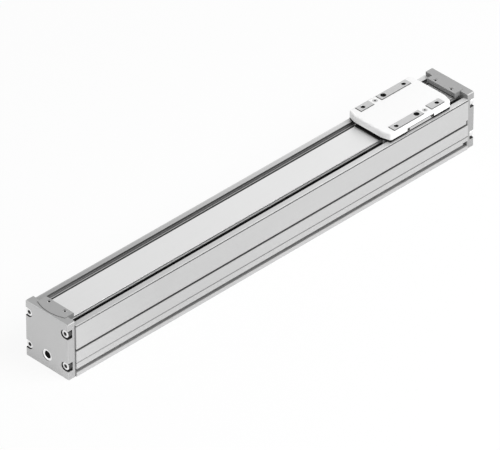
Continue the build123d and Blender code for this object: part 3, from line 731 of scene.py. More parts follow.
def make_finishes(colours):
    """Finishes of the record's material slots, and of single faces, several of them lighter or darker copies
    that paint light and shade.
    """
    cast = Vector(colours.cast)
    pads = Vector(colours.pads)
    steel = Vector(colours.steel)
    dark = Vector(colours.dark)
    white = Vector((1, 1, 1))
    # Colour, metal, roughness, grains per metre on each axis, contrast, relief in mm, blotches, gloss
    looks = {
        "anodised_profile": (colours.anodised, 0.35, 0.48, (14, 900, 900), 0.05, 0.006),
        "cast_aluminium": (cast, 0.0, 0.65, BLASTED, 0.06, 0.03, 0.03, 0.25),
        # Painted light: a lighter copy of the cast finish for the front cap's long sides
        "cap_side_light": (1.3 * cast, 0.0, 0.65, BLASTED, 0.06, 0.03, 0.03, 0.25),
        # Painted shade: a darker copy of the cast finish for faces turned towards the profile
        "cap_inside_shade": (0.65 * cast, 0.0, 0.7, BLASTED, 0.06, 0.03, 0.03, 0.15),
        # Painted shade: a near-black copy of the cast finish for the screw pockets and the hidden parts under
        # the profile's top
        "cast_recess_shade": (0.1 * cast, 0.0, 0.8, BLASTED, 0.06, 0.03, 0.03, 0.1),
        # Painted shade: a darker copy of the cast finish for the crease at the raised block, the port's rim
        # and the cap screws' sockets
        "crease_shade": (0.35 * cast, 0.0, 0.7, BLASTED, 0.06, 0.03),
        # Milled outer faces, made lighter as painted light; also the painted highlight on the top bevels
        "milled_face_and_light": (colours.milled_face_and_light, 0.1, 0.6, (900, 1500, 1500), 0.04, 0.01, 0.02, 0.3),
        "machined_face": (colours.machined, 0.9, 0.3, (500, 1400, 1400), 0.04, 0.008),
        "slide_aluminium": (pads, 0.4, 0.5, MILLED, 0.05, 0.008),
        # Painted shade: a darker copy of the slide's aluminium for the pads' sides and the groove round each
        # pad
        "pad_edge_shade": (0.35 * pads, 0.3, 0.6, MILLED, 0.05, 0.008),
        "strip_steel": (colours.strip, 0.8, 0.36, (6, 1600, 1600), 0.03, 0.004),
        "ground_steel": (0.8 * steel, 0.95, 0.25, (5, 2000, 2000), 0.04, 0.003),
        "ball_steel": (0.8 * steel, 1.0, 0.12, (800, 800, 800), 0.02, 0.001),
        "magnet_coating": (0.8 * steel, 1.0, 0.2, (700, 700, 700), 0.04, 0.002),
        "zinc_screw": (steel, 0.9, 0.3, TURNED, 0.04, 0.006),
        # Knurled steel, nearly black as painted shade, for the sides of the cap screws' heads
        "knurled_steel": (0.1 * steel, 0.2, 0.6, (300, 3000, 3000), 0.2, 0.03, 0.02, 0.1),
        "black_screw": (dark + 0.05 * white, 0.6, 0.4, TURNED, 0.1, 0.006),
        "oiled_thread": (dark, 0.0, 0.6, TURNED, 0.15, 0.01, 0.02, 0.15),
        "nipple_brass": ((0.1, 0.1, 0.09), 0.7, 0.4, TURNED, 0.06),
        "white_plastic": (colours.cover, 0.0, 0.5, (2200, 2200, 2200), 0.012, 0.012, 0.006, 0.3),
        "black_plastic": (dark + 0.015 * white, 0.0, 0.5, (2000, 2000, 2000), 0.1, 0.012),
        "black_rubber": (0.5 * dark, 0.0, 0.75, BLASTED, 0.15, 0.02, 0.02, 0.1),
    }
    for name, values in looks.items():
        grained(name, *values)
    paint_profile_shade(finish_of("anodised_profile"))
    shade_strip(finish_of("strip_steel"))


def slot_of(node):
    """The record's material slot of a node."""
    for row in frame["record"]["subparts"]:
        if row["node"] == node:
            return row["material_slot"]
    raise RuntimeError(f"{node} has no material slot")


# Pieces


def threaded_tool(name, centre, radius, length, axis, pitch, depth=BOLT_THREAD):
    """Cutter for a threaded hole: a rod whose rings are drawn in and out."""
    tool = add_rod(name, (0, 0, 0), radius, length)
    rings = max(2, 2 * int(length / pitch))
    edit_edges(tool, lambda a, b: abs(a.z - b.z) > length / 2)
    bpy.ops.mesh.subdivide(number_cuts=rings - 1)

    def on_odd_ring(vertex):
        return round((vertex.co.z + length / 2) / (length / rings)) % 2 == 1

    edit_parts(tool, "VERT", on_odd_ring)
    widen(1 + depth / radius)
    leave_edit()
    tool.rotation_euler = TURNS[axis]
    tool.location = centre
    return settle(tool)


def countersink_tool(name, place, bore, head):
    """Cutter for a countersunk hole whose mouth is at a place."""
    depth = head - bore
    tool = add_rod(name, (0, 0, -depth - PILOT / 2), bore, PILOT)
    edit_faces(tool, lambda face: face.normal.z > STRAIGHT)
    draw_out(0, 0, depth)
    widen(head / bore)
    draw_out(0, 0, FREE_GAP)
    leave_edit()
    tool.location = place
    return settle(tool)


def cap_block(sizes):
    """Raised block of the front cap, with the arc that faces outwards."""
    apex = CAP[0].x + BLOCK_APEX
    inner = CAP[0].x + CAP_THICKNESS
    top = CAP[1].z
    low = PROFILE[1].z + BLOCK_GAP
    radius = (BLOCK_HALF**2 + BLOCK_ARC_DEPTH**2) / (2 * BLOCK_ARC_DEPTH)
    block = add_box("cap_block", (apex, -BLOCK_HALF, low), (CAP[1].x, BLOCK_HALF, top))
    centre = (apex + radius, 0, (low + top) / 2)
    arc = add_rod("block_arc", centre, radius, 3 * (top - low), sides=ARC_SIDES)
    combine(block, arc, "INTERSECT")
    bevel_edges(block, lambda a, b: min(a.z, b.z) > top - SAME, sizes.block_edge, 3)
    channel = add_box(
        "channel",
        (inner, STRIP[0].y + CHANNEL_INSET, low - FREE_GAP),
        (CAP[1].x + FREE_GAP, -STRIP[0].y - CHANNEL_INSET, CLAMP_PLATE[1].z + FREE_GAP),
    )
    combine(block, channel)
    return block


def cap_screw_row():
    """Distance of the cap screws from the middle plane."""
    return CAP_SCREWS[1].y - M5_HEAD


def cap_screw_places():
    """Side and height of each cap screw."""
    low = CAP_SCREWS[0].z + M5_HEAD
    high = CAP_SCREWS[1].z - M5_HEAD
    return [(side, height) for side in SIDES for height in (low, high)]


def clamp_screw_place(side):
    """Place of one set screw of the front cap, seen from above."""
    x = (CLAMP_SCREWS[0].x + CLAMP_SCREWS[1].x) / 2
    return x, side * (CLAMP_SCREWS[1].y - SET_RADIUS)


def end_cap(name, sizes):
    """Cast end cap at the front end: plate, raised block, shelf, stop boss, pockets and port."""
    outer = CAP[0].x
    inner = outer + CAP_THICKNESS
    half = CAP[1].y
    cap = add_box(name, (outer, -half, 0), (inner, half, CAP_TOP))

    def outer_edge(a, b):
        on_face = max(a.x, b.x) < outer + SAME
        upright = abs(a.z - b.z) > CAP_TOP / 2
        on_top = min(a.z, b.z) > CAP_TOP - SAME and abs(a.y - b.y) < SAME
        return on_face or upright or on_top

    bevel_edges(cap, outer_edge, sizes.cap_edge, 4)
    combine(cap, cap_block(sizes), "UNION")

    shelf_top = PROFILE[1].z - SHELF_DROP
    shelf_low = (inner - FREE_GAP, -SHELF_HALF, shelf_top - SHELF_HEIGHT)
    combine(cap, add_box("shelf", shelf_low, (CAP[1].x, SHELF_HALF, shelf_top)), "UNION")
    stop_height = (BUFFER[0].z + BUFFER[1].z) / 2
    boss_centre = (inner + (BOSS_LENGTH - FREE_GAP) / 2, 0, stop_height)
    combine(cap, add_rod("stop_boss", boss_centre, BOSS_RADIUS, BOSS_LENGTH + FREE_GAP, "X"), "UNION")
    spigot_mouth = (inner + BOSS_LENGTH, 0, stop_height)
    spigot_length = 2 * (SPIGOT_DEPTH + FREE_GAP)
    combine(cap, add_rod("spigot_hole", spigot_mouth, SPIGOT_RADIUS, spigot_length, "X"))

    for side, height in cap_screw_places():
        centre = (outer, side * cap_screw_row(), height)
        combine(cap, add_rod("pocket", centre, POCKET_RADIUS, 2 * POCKET_DEPTH, "X"))
        mouth = side_box(
            "pocket_mouth",
            side,
            (outer - FREE_GAP, outer + POCKET_DEPTH),
            (cap_screw_row(), half + FREE_GAP),
            (height - POCKET_RADIUS, height + POCKET_RADIUS),
        )
        combine(cap, mouth)
        combine(cap, add_rod("screw_bore", centre, SCREW_BORE_RADIUS, 3 * CAP_THICKNESS, "X"))

    centre = (outer, 0, PORT_HEIGHT)
    combine(cap, add_rod("port_face", centre, PORT_FACE_RADIUS, 2 * PORT_FACE_DEPTH, "X"))
    crest = PORT_RADIUS - PORT_THREAD
    length = 3 * CAP_THICKNESS
    thread = threaded_tool("port_thread", centre, crest, length, "X", sizes.thread_pitch, PORT_THREAD)
    combine(cap, thread)
    sink = countersink_tool("port_mouth", (0, 0, 0), crest, PORT_RADIUS + PORT_CHAMFER)
    sink.rotation_euler = (0, -math.pi / 2, 0)
    sink.location = (outer + PORT_FACE_DEPTH, 0, PORT_HEIGHT)
    combine(cap, settle(sink))
    for side in SIDES:
        x, y = clamp_screw_place(side)
        depth = CAP[1].z - CLAMP_PLATE[1].z - FREE_GAP
        combine(cap, add_rod("clamp_hole", (x, y, CAP[1].z), SET_RADIUS + THREAD_GAP, 2 * depth))
    round_edges(cap, sizes.small_edge)
    return cap


def paint_cap(cap, outer, inwards):
    """Cast finish all over a cap, with a milled face made lighter as painted light, painted highlights on the
    top bevels, a bright port, painted light on the front cap's long sides, and painted shade on the creases,
    in the recesses and bore, and on the faces turned towards the profile.
    """

    def depth(centre):
        return (centre.x - outer) * inwards

    def from_port(centre):
        return math.hypot(centre.y, centre.z - PORT_HEIGHT)

    def on_face(centre, normal):
        return normal.x * inwards < -HALFWAY and depth(centre) < FACE_BAND

    def on_top_bevel(centre, normal):
        slants = abs(normal.y) > SLIGHT and normal.z > SLIGHT and abs(normal.x) < SLIGHT
        return slants and CAP_TOP - TOP_BAND < centre.z < CAP_TOP

    def on_step(centre, normal):
        in_height = CAP_TOP + STEP_FOOT < centre.z < CAP[1].z - STEP_MARGIN
        return normal.x * inwards < -HALFWAY and in_height and depth(centre) > MARGIN

    def on_side(centre, normal):
        return abs(centre.y) > CAP[1].y - NEAR

    def faces_profile(centre, normal):
        beyond = depth(centre) > CAP_THICKNESS and abs(normal.y) > HALFWAY
        return normal.x * inwards > HALFWAY or beyond

    def under_top(centre, normal):
        return depth(centre) > CAP_THICKNESS + MARGIN and centre.z < PROFILE[1].z

    def in_port_face(centre, normal):
        in_wall = NEAR < depth(centre) < CAP_THICKNESS - MARGIN
        return in_wall and from_port(centre) < PORT_FACE_RADIUS + NEAR

    def in_pocket(centre, normal):
        if not POCKET_RIM < depth(centre) < POCKET_DEPTH + NEAR:
            return False
        for side, height in cap_screw_places():
            beyond = side * centre.y - cap_screw_row()
            reach = abs(centre.z - height) if beyond > 0 else math.hypot(beyond, centre.z - height)
            if reach < POCKET_RADIUS + NEAR and side * centre.y < CAP[1].y - NEAR:
                return True
        return False

    def on_port_rim(centre, normal):
        upright = depth(centre) < PORT_FACE_DEPTH and abs(normal.x) < HALFWAY
        return upright and abs(from_port(centre) - PORT_FACE_RADIUS) < 2 * NEAR

    def in_port(centre, normal):
        in_wall = PORT_FACE_DEPTH + PORT_CONE < depth(centre) < CAP_THICKNESS - MARGIN
        return in_wall and from_port(centre) < PORT_RADIUS + PORT_CHAMFER

    paint(cap, "cast_aluminium")
    # Milled outer face, lighter partly as painted light
    paint_faces(cap, "milled_face_and_light", on_face)
    # Painted highlight on the bevels along the top
    paint_faces(cap, "milled_face_and_light", on_top_bevel)
    # Painted shade on the raised block's outward face
    paint_faces(cap, "crease_shade", on_step)
    # Painted light on the long sides of the front cap only
    if inwards > 0:
        paint_faces(cap, "cap_side_light", on_side)
    # Painted shade on the faces turned towards the profile and the carriage
    paint_faces(cap, "cap_inside_shade", faces_profile)
    # Painted shade on the parts below the profile's top
    paint_faces(cap, "cast_recess_shade", under_top)
    paint_faces(cap, "machined_face", in_port_face)
    # Painted shade in the screw pockets
    paint_faces(cap, "cast_recess_shade", in_pocket)
    # Painted shade round the rim of the port's spot face
    paint_faces(cap, "crease_shade", on_port_rim)
    # The port's bore past its chamfer: dark for its oiled thread, and darker as painted shade inside it
    paint_faces(cap, "oiled_thread", in_port)


def finish_screw(screw, across, depth, rounding, rim, metal, dark):
    """Cut the hexagon socket into a screw's top, round the edges and paint shade into the socket below its
    rim.
    """
    radius = across / math.sqrt(3)
    combine(screw, add_rod("hex_socket", (0, 0, 0), radius, 2 * depth, sides=6))
    round_edges(screw, rounding)

    def in_socket(centre, normal):
        return math.hypot(centre.x, centre.y) < radius + SAME and -depth - SAME < centre.z < -rim

    paint(screw, metal)
    # Painted shade in the socket below its rim
    paint_faces(screw, dark, in_socket)
    return screw


def socket_screw(name, sizes):
    """Socket head screw M5 with its top at the origin and its shank along -Z."""
    screw = add_rod(name, (0, 0, -M5_HEAD_HEIGHT / 2), M5_HEAD, M5_HEAD_HEIGHT)
    edit_faces(screw, lambda face: face.normal.z < -STRAIGHT)
    bpy.ops.mesh.inset(thickness=M5_HEAD - M5_SHANK)
    reach = CAP_SCREWS[1].x - CAP_SCREWS[0].x - M5_HEAD_HEIGHT
    draw_out(0, 0, -reach)
    leave_edit()
    bevel_edges(screw, lambda a, b: min(a.z, b.z) > -SAME, M5_BEVEL, 3)
    rounding = 0.5 * sizes.small_edge
    # The socket below its rim gets painted shade
    finish_screw(screw, M5_SOCKET, M5_SOCKET_DEPTH, rounding, M5_SOCKET_RIM, "zinc_screw", "crease_shade")

    def on_knurl(centre, normal):
        return math.hypot(centre.x, centre.y) > M5_HEAD - KNURL_DEPTH and centre.z < -MARGIN

    # Painted shade on the head's knurled side
    paint_faces(screw, "knurled_steel", on_knurl)
    return screw


def set_screw(name, sizes):
    """Set screw with its top at the origin."""
    length = CLAMP_SCREWS[1].z - CLAMP_SCREWS[0].z
    screw = add_rod(name, (0, 0, -length / 2), SET_RADIUS, length)
    bevel_edges(screw, lambda a, b: min(a.z, b.z) > -SAME, SET_BEVEL, 2)
    rounding = 0.3 * sizes.small_edge
    return finish_screw(
        screw, SET_SOCKET, SET_SOCKET_DEPTH, rounding, SET_SOCKET_RIM, "zinc_screw", "oiled_thread"
    )


def countersunk_screw(name, sizes):
    """Countersunk screw M3 with its top at the origin."""
    cone = M3_HEAD - M3_SHANK
    reach = COVER_SCREWS[1].z - COVER_SCREWS[0].z - cone
    screw = add_rod(name, (0, 0, -cone - reach / 2), M3_SHANK, reach, sides=SMALL_SIDES)
    edit_faces(screw, lambda face: face.normal.z > STRAIGHT)
    draw_out(0, 0, cone)
    widen(M3_HEAD / M3_SHANK)
    leave_edit()
    rounding = 0.3 * sizes.small_edge
    return finish_screw(
        screw, M3_SOCKET, M3_SOCKET_DEPTH, rounding, M3_SOCKET_RIM, "slide_aluminium", "oiled_thread"
    )


def carriage_slab(name, inset, low, high):
    """Slab with the carriage's plan: a box whose four corners are cut off aslant."""
    slab = add_box(
        name,
        (CARRIAGE_X - HALF_LENGTH + inset, -HALF_WIDTH + inset, low),
        (CARRIAGE_X + HALF_LENGTH - inset, HALF_WIDTH - inset, high),
    )
    across = Vector((NOSE_WIDTH, NOSE_LENGTH, 0)).normalized()
    for end in SIDES:
        for side in SIDES:
            normal = Vector((end * across.x, side * across.y, 0))
            corner = Vector((CARRIAGE_X + end * HALF_LENGTH, side * (HALF_WIDTH - NOSE_WIDTH), 0))
            slice_piece(slab, corner - inset * normal, normal, use_fill=True, clear_outer=True)
    return slab


def pad_places():
    """Middle and length of each mounting pad."""
    long_length = HOLE_COLUMN + PAD_END + PAD_MIDDLE
    long_middle = (HOLE_COLUMN + PAD_END - PAD_MIDDLE) / 2
    short_middle = HOLE_COLUMN + PAD_END - SHORT_PAD / 2
    places = []
    for turn in SIDES:
        places.append((CARRIAGE_X + turn * long_middle, turn * PAD_ROW, long_length))
        places.append((CARRIAGE_X - turn * short_middle, turn * PAD_ROW, SHORT_PAD))
    return places


def pad_box(name, x, y, length, gap, low, high):
    """Box on the place of one mounting pad, larger by a gap."""
    half = Vector((length / 2 + gap, PAD_WIDTH / 2 + gap, 0))
    return add_box(name, Vector((x, y, low)) - half, Vector((x, y, high)) + half)


def cover_screw_places():
    """Places of the two screws of the cover, seen from above."""
    column = (COVER_SCREWS[1].x - COVER_SCREWS[0].x) / 2 - M3_HEAD
    return [(CARRIAGE_X - side * column, side * PAD_ROW) for side in SIDES]


def carriage_cover(name, sizes):
    """White cover: a shell with cut-outs for the pads and a window in each long side, with its set-back lower
    rim, its underside and its window reveals painted black as shade.
    """
    low, high = COVER[0].z, COVER[1].z
    rim_top = low + RIM_HEIGHT
    cover = carriage_slab(name, 0, low, high)
    bevel_edges(cover, lambda a, b: abs(a.z - b.z) > (high - low) / 2, sizes.cover_corner, 5)
    bevel_edges(cover, lambda a, b: min(a.z, b.z) > high - SAME, sizes.cover_edge, 6)
    combine(cover, carriage_slab("hollow", COVER_WALL, low - FREE_GAP, SLIDE_TOP))
    for x, y, length in pad_places():
        combine(cover, pad_box("pad_cut", x, y, length, FIT_GAP, low, high + FREE_GAP))
        combine(cover, pad_box("pad_rim", x, y, length, PAD_GROOVE, high - PAD_GROOVE, high + FREE_GAP))
    half = HALF_WIDTH - NOSE_WIDTH
    for end in SIDES:
        ends = sorted((end * (HALF_LENGTH - NOSE_LENGTH), end * (HALF_LENGTH + FREE_GAP)))
        lift_low = (CARRIAGE_X + ends[0], -half, low - FREE_GAP)
        combine(cover, add_box("nose_lift", lift_low, (CARRIAGE_X + ends[1], half, low + NOSE_LIFT)))
    rim = carriage_slab("lower_rim", -FREE_GAP, low - FREE_GAP, rim_top)
    combine(rim, carriage_slab("rim_core", RIM_DEPTH, low - 2 * FREE_GAP, rim_top + FREE_GAP))
    combine(cover, rim)
    slice_piece(cover, (0, 0, rim_top), (0, 0, 1))
    for side in SIDES:
        window = side_box(
            "window",
            side,
            (CARRIAGE_X - WINDOW_HALF, CARRIAGE_X + WINDOW_HALF),
            (HALF_WIDTH - COVER_WALL - FREE_GAP, HALF_WIDTH + FREE_GAP),
            (low - FREE_GAP, low + WINDOW_HEIGHT),
        )
        combine(cover, window)
    for x, y in cover_screw_places():
        sink = countersink_tool("screw_sink", (x, y, high), M3_SHANK + FIT_GAP, M3_HEAD + FIT_GAP)
        combine(cover, sink)
    round_edges(cover, sizes.small_edge, segments=3)

    def on_rim(centre, normal):
        return normal.z < -HALFWAY or centre.z < rim_top + SAME

    def in_groove(centre, normal):
        for x, y, length in pad_places():
            beyond = abs(centre.x - x) - length / 2
            aside = abs(centre.y - y) - PAD_WIDTH / 2
            if max(beyond, aside) < PAD_GROOVE + SAME and high - 2 * PAD_GROOVE < centre.z < high - SAME:
                return True
        return False

    def in_window(centre, normal):
        in_wall = HALF_WIDTH - COVER_WALL - SAME < abs(centre.y) < HALF_WIDTH - 2 * NEAR
        in_width = abs(centre.x - CARRIAGE_X) < WINDOW_HALF + SAME
        in_height = centre.z < low + WINDOW_HEIGHT + SAME
        return in_wall and in_width and in_height and abs(normal.y) < SLIGHT

    paint(cover, "white_plastic")
    # Painted shade: the set-back lower rim and the underside are painted black
    paint_faces(cover, "black_rubber", on_rim)
    # Painted shade in the groove round each pad
    paint_faces(cover, "pad_edge_shade", in_groove)
    # Painted shade: the window reveals are painted black
    paint_faces(cover, "black_rubber", in_window)
    return cover


def strip_wiper(name, sizes):
    """Rubber wiper at the front end: a block in its notch and a black lip that runs out under the nose,
    standing in for the shade in the gap there.
    """
    low, high = WIPER
    lip = LIP_HEIGHT / 2
    block = add_box(name, (low.x, low.y, low.z + lip), high)
    edit_faces(block, lambda face: face.normal.z < -STRAIGHT)
    draw_out(0, 0, -lip)
    leave_edit()

    def front_of_lip(face):
        return face.normal.x < -STRAIGHT and face.calc_center_median().z < low.z + lip

    edit_faces(block, front_of_lip)
    draw_out(-LIP_REACH, 0, 0)
    bpy.ops.transform.resize(value=(1, 1, LIP_THICKNESS / lip), center_override=(low.x, 0, low.z))
    leave_edit()
    round_edges(block, 0.5 * sizes.small_edge)
    return block


def nipple_places():
    """Place along the axis, side and height of each grease nipple."""
    column = (NIPPLES[1].x - NIPPLES[0].x) / 2 - NIPPLE_RADIUS
    height = (NIPPLES[0].z + NIPPLES[1].z) / 2
    return [(CARRIAGE_X + end * column, side, height) for side in SIDES for end in SIDES]


def slide(name, sizes):
    """Slide: web on the runner, necks beside the strip, top plate, pads and flanks."""
    inset = COVER_WALL + FIT_GAP
    front = CARRIAGE_X - HALF_LENGTH + inset
    rear = CARRIAGE_X + HALF_LENGTH - inset
    bottom = COVER[0].z
    body = carriage_slab(name, inset, bottom, SLIDE_TOP)
    for x, y, length in pad_places():
        combine(body, pad_box("pad", x, y, length, 0, SLIDE_TOP - FREE_GAP, PAD_TOP), "UNION")

    def window_part(part_name, side, gap, recess, low, high):
        ends = (CARRIAGE_X - WINDOW_HALF + gap, CARRIAGE_X + WINDOW_HALF - gap)
        across = (HALF_WIDTH - inset - FREE_GAP, HALF_WIDTH - recess)
        return side_box(part_name, side, ends, across, (low, high))

    flank_top = bottom + WINDOW_HEIGHT - WINDOW_GAP
    sill_top = bottom + SILL_HEIGHT
    for side in SIDES:
        flank = window_part("flank", side, WINDOW_GAP, WINDOW_RECESS, sill_top, flank_top)
        combine(body, flank, "UNION")
        # Sill below the flank, painted dark as shade
        sill = window_part("sill", side, FIT_GAP, SILL_RECESS, bottom, sill_top + FIT_GAP)
        combine(body, sill, "UNION")
        heights = (FLANK_TOP - FREE_GAP, bottom + FREE_GAP)
        neck = side_box("neck", side, (front, rear), (NECK_INNER, NECK_OUTER), heights)
        combine(body, neck, "UNION")
    web = add_box("web", (front, -WEB_HALF, RUNNER[1].z), (rear, WEB_HALF, FLANK_TOP))
    hollow_high = (rear + FREE_GAP, NECK_INNER, FLANK_TOP + FREE_GAP)
    combine(web, add_box("web_hollow", (front - FREE_GAP, -NECK_INNER, WEB_TOP), hollow_high))
    combine(body, web, "UNION")
    for end, x in ((-1, front), (1, rear)):
        ends = sorted((x + end * FREE_GAP, x - end * (WIPER[1].x - WIPER[0].x)))
        notch = add_box(
            "wiper_notch",
            (ends[0], STRIP[0].y + NOTCH_INSET, bottom - FREE_GAP),
            (ends[1], -STRIP[0].y - NOTCH_INSET, WIPER[1].z),
        )
        combine(body, notch)

    def cut_thread(thread_name, place):
        length = 2 * BOLT_DEPTH
        tool = threaded_tool(thread_name, place, BOLT_RADIUS, length, "Z", sizes.thread_pitch)
        combine(body, tool)

    for column in SIDES:
        for row in SIDES:
            place = (CARRIAGE_X + column * HOLE_COLUMN, row * PAD_ROW, PAD_TOP)
            cut_thread("bolt", place)
            rim = BOLT_RADIUS + sizes.hole_chamfer
            combine(body, countersink_tool("bolt_chamfer", place, BOLT_RADIUS - BOLT_CREST, rim))
            seat = (CARRIAGE_X + column * RUNNER_SCREW[0], row * RUNNER_SCREW[1], WEB_TOP)
            combine(body, add_rod("seat", seat, M4_HEAD, 2 * M4_SEAT))
            combine(body, add_rod("bore", seat, M4_BORE, THROUGH))
    for row in SIDES:
        place = (CARRIAGE_X, row * PAD_ROW, PAD_TOP)
        combine(body, add_rod("centring", place, CENTRING_RADIUS, 2 * CENTRING_DEPTH))
        cut_thread("core", place)
    for x, y in cover_screw_places():
        combine(body, add_rod("tap", (x, y, SLIDE_TOP), M3_SHANK + THREAD_GAP, 2 * TAP_DEPTH))
    for x, side, height in nipple_places():
        mouth = (x, side * (HALF_WIDTH - WINDOW_RECESS), height)
        length = 2 * NIPPLE_HOLE_DEPTH
        combine(body, add_rod("nipple_bore", mouth, NIPPLE_RADIUS + THREAD_GAP, length, "Y"))
    round_edges(body, 0.8 * sizes.small_edge)

    def on_pad_side(centre, normal):
        return abs(normal.z) < SLIGHT and SLIDE_TOP + NEAR < centre.z < PAD_TOP

    def on_long_side(centre, normal):
        return abs(abs(centre.y) - HALF_WIDTH + inset) < NEAR and centre.z > bottom

    def beside_flank(centre, normal):
        stands_out = abs(centre.y) > HALF_WIDTH - inset and bottom < centre.z < SLIDE_TOP
        return stands_out and (abs(normal.y) < FLANK_FACING or centre.z < sill_top)

    def in_hole(centre, normal):
        if centre.z > PAD_TOP - MARGIN or centre.z < PAD_TOP - BOLT_DEPTH - SAME:
            return False
        for column in (-1, 0, 1):
            for row in SIDES:
                x = centre.x - CARRIAGE_X - column * HOLE_COLUMN
                y = centre.y - row * PAD_ROW
                if math.hypot(x, y) < CENTRING_RADIUS + HOLE_MARGIN:
                    return True
        return False

    paint(body, "slide_aluminium")
    # Painted shade on the pads' sides
    paint_faces(body, "pad_edge_shade", on_pad_side)
    # Painted shade: the slide's long sides behind the cover, the flanks' edges and the sills get the dark
    # finish
    paint_faces(body, "oiled_thread", on_long_side)
    paint_faces(body, "oiled_thread", beside_flank)
    # The bolt and centring holes: dark for their oiled threads, and darker as painted shade inside them
    paint_faces(body, "oiled_thread", in_hole)
    return body


def nipple(name, sizes):
    """Flush grease nipple with its mouth at the origin, facing +Z."""
    piece = add_rod(name, (0, 0, -NIPPLE_LENGTH / 2), NIPPLE_RADIUS, NIPPLE_LENGTH, sides=SMALL_SIDES)
    edit_faces(piece, lambda face: face.normal.z > STRAIGHT)
    bpy.ops.mesh.inset(thickness=NIPPLE_RIM)
    draw_out(0, 0, -NIPPLE_DISH)
    bpy.ops.mesh.inset(thickness=NIPPLE_RADIUS - NIPPLE_RIM - NIPPLE_BORE)
    draw_out(0, 0, -NIPPLE_DEPTH)
    leave_edit()
    round_edges(piece, 0.3 * sizes.small_edge)
    paint(piece, "nipple_brass")
    return piece


# Operators


def joined_copies(pattern, name, places):
    """Copies of a pattern at some places, each with its turn, joined into one object."""
    return join(name, [place_copy(pattern, f"{name}_copy", move, turn) for move, turn in places])


class GUIDEAXIS_OT_finishes(Operator):
    """Make all finishes and give each node of the frame its own"""

    bl_idname = "guide_axis.finishes"
    bl_label = "Finishes"

    def execute(self, context):
        make_finishes(context.scene.guide_axis_colours)
        for node, piece in frame["nodes"].items():
            finish = finish_of(slot_of(node))
            for place in piece.material_slots:
                place.material = finish
            if not piece.material_slots:
                piece.data.materials.append(finish)
        return {"FINISHED"}


class GUIDEAXIS_OT_end_caps(Operator):
    """Model the two cast end caps"""

    bl_idname = "guide_axis.end_caps"
    bl_label = "End caps"

    def execute(self, context):
        front = end_cap("front_cap_casting", context.scene.guide_axis_sizes)
        rear = place_copy(front, "rear_cap_casting", (0, 0, 0), (0, 0, math.pi))
        paint_cap(front, CAP[0].x, 1)
        paint_cap(rear, -CAP[0].x, -1)
        stand_in(front, "front_end_cap")
        stand_in(rear, "rear_end_cap")
        return {"FINISHED"}


class GUIDEAXIS_OT_cap_screws(Operator):
    """Model the socket head screws and the set screws of both caps"""

    bl_idname = "guide_axis.cap_screws"
    bl_label = "Cap screws"

    def execute(self, context):
        sizes = context.scene.guide_axis_sizes
        head = socket_screw("socket_screw", sizes)
        grub = set_screw("set_screw", sizes)
        # The heads' knurled sides get painted shade at the front end and stay bright zinc at the rear end,
        # for how the light falls on each end
        for end_name, end, head_side_shading in (("front", -1, "knurled_steel"), ("rear", 1, "zinc_screw")):
            places = []
            for side, height in cap_screw_places():
                move = (end * -CAP_SCREWS[0].x, side * cap_screw_row(), height)
                places.append((move, (0, end * math.pi / 2, 0)))
            screws = joined_copies(head, f"{end_name}_socket_screws", places)
            screws.material_slots["knurled_steel_finish"].material = finish_of(head_side_shading)
            stand_in(screws, f"{end_name}_cap_screws")
            places = []
            for side in SIDES:
                x, y = clamp_screw_place(side)
                places.append(((-end * x, y, CLAMP_SCREWS[1].z), (0, 0, 0)))
            grubs = joined_copies(grub, f"{end_name}_set_screws", places)
            stand_in(grubs, f"{end_name}_clamp_screws")
        remove(head)
        remove(grub)
        return {"FINISHED"}


class GUIDEAXIS_OT_slide(Operator):
    """Model the slide with its mounting pads, and the grease nipples in its flanks"""

    bl_idname = "guide_axis.slide"
    bl_label = "Slide"

    def execute(self, context):
        sizes = context.scene.guide_axis_sizes
        stand_in(slide("milled_slide", sizes), "slide_body")
        pattern = nipple("nipple", sizes)
        places = []
        for x, side, height in nipple_places():
            move = (x, side * (HALF_WIDTH - WINDOW_RECESS), height)
            places.append((move, (-side * math.pi / 2, 0, 0)))
        stand_in(joined_copies(pattern, "flush_nipples", places), "grease_nipples")
        remove(pattern)
        return {"FINISHED"}


class GUIDEAXIS_OT_cover(Operator):
    """Model the white carriage cover, its two screws and the wipers below it"""

    bl_idname = "guide_axis.cover"
    bl_label = "Carriage cover"

    def execute(self, context):
        sizes = context.scene.guide_axis_sizes
        stand_in(carriage_cover("white_cover", sizes), "slide_cover")
        pattern = countersunk_screw("countersunk", sizes)
        top = COVER[1].z - SCREW_DROP
        places = [((x, y, top), (0, 0, 0)) for x, y in cover_screw_places()]
        screws = joined_copies(pattern, "cover_countersunk_screws", places)
        front = strip_wiper("front_wiper", sizes)
        rear = place_copy(front, "rear_wiper", (2 * CARRIAGE_X, 0, 0), (0, 0, math.pi))
        for wiper, node in ((front, "front_strip_wiper"), (rear, "rear_strip_wiper")):
            paint(wiper, "black_rubber")
            stand_in(wiper, node)
        stand_in(screws, "cover_screws")
        remove(pattern)
        return {"FINISHED"}


# Studio


def studio_lamp(name, power, direction, distance, size):
    """Soft square lamp that faces the middle of the axis from a direction."""
    lamp = bpy.data.lights.new(name, "AREA")
    lamp.shape = "SQUARE"
    lamp.size = size
    lamp.energy = power
    holder = bpy.data.objects.new(name, lamp)
    bpy.context.scene.collection.objects.link(holder)
    holder.location = Vector(direction).normalized() * distance
    holder.rotation_euler = Vector(direction).to_track_quat("Z", "Y").to_euler()


def seen_share(tree, *kinds):
    """Output that is 1 for what the camera sees, straight or by light paths of some kinds, else 0."""
    rays = add_node(tree, "ShaderNodeLightPath").outputs
    seen = rays["Is Camera Ray"]
    for kind in kinds:
        seen = calculate(tree, "MAXIMUM", seen, rays[kind])
    return seen


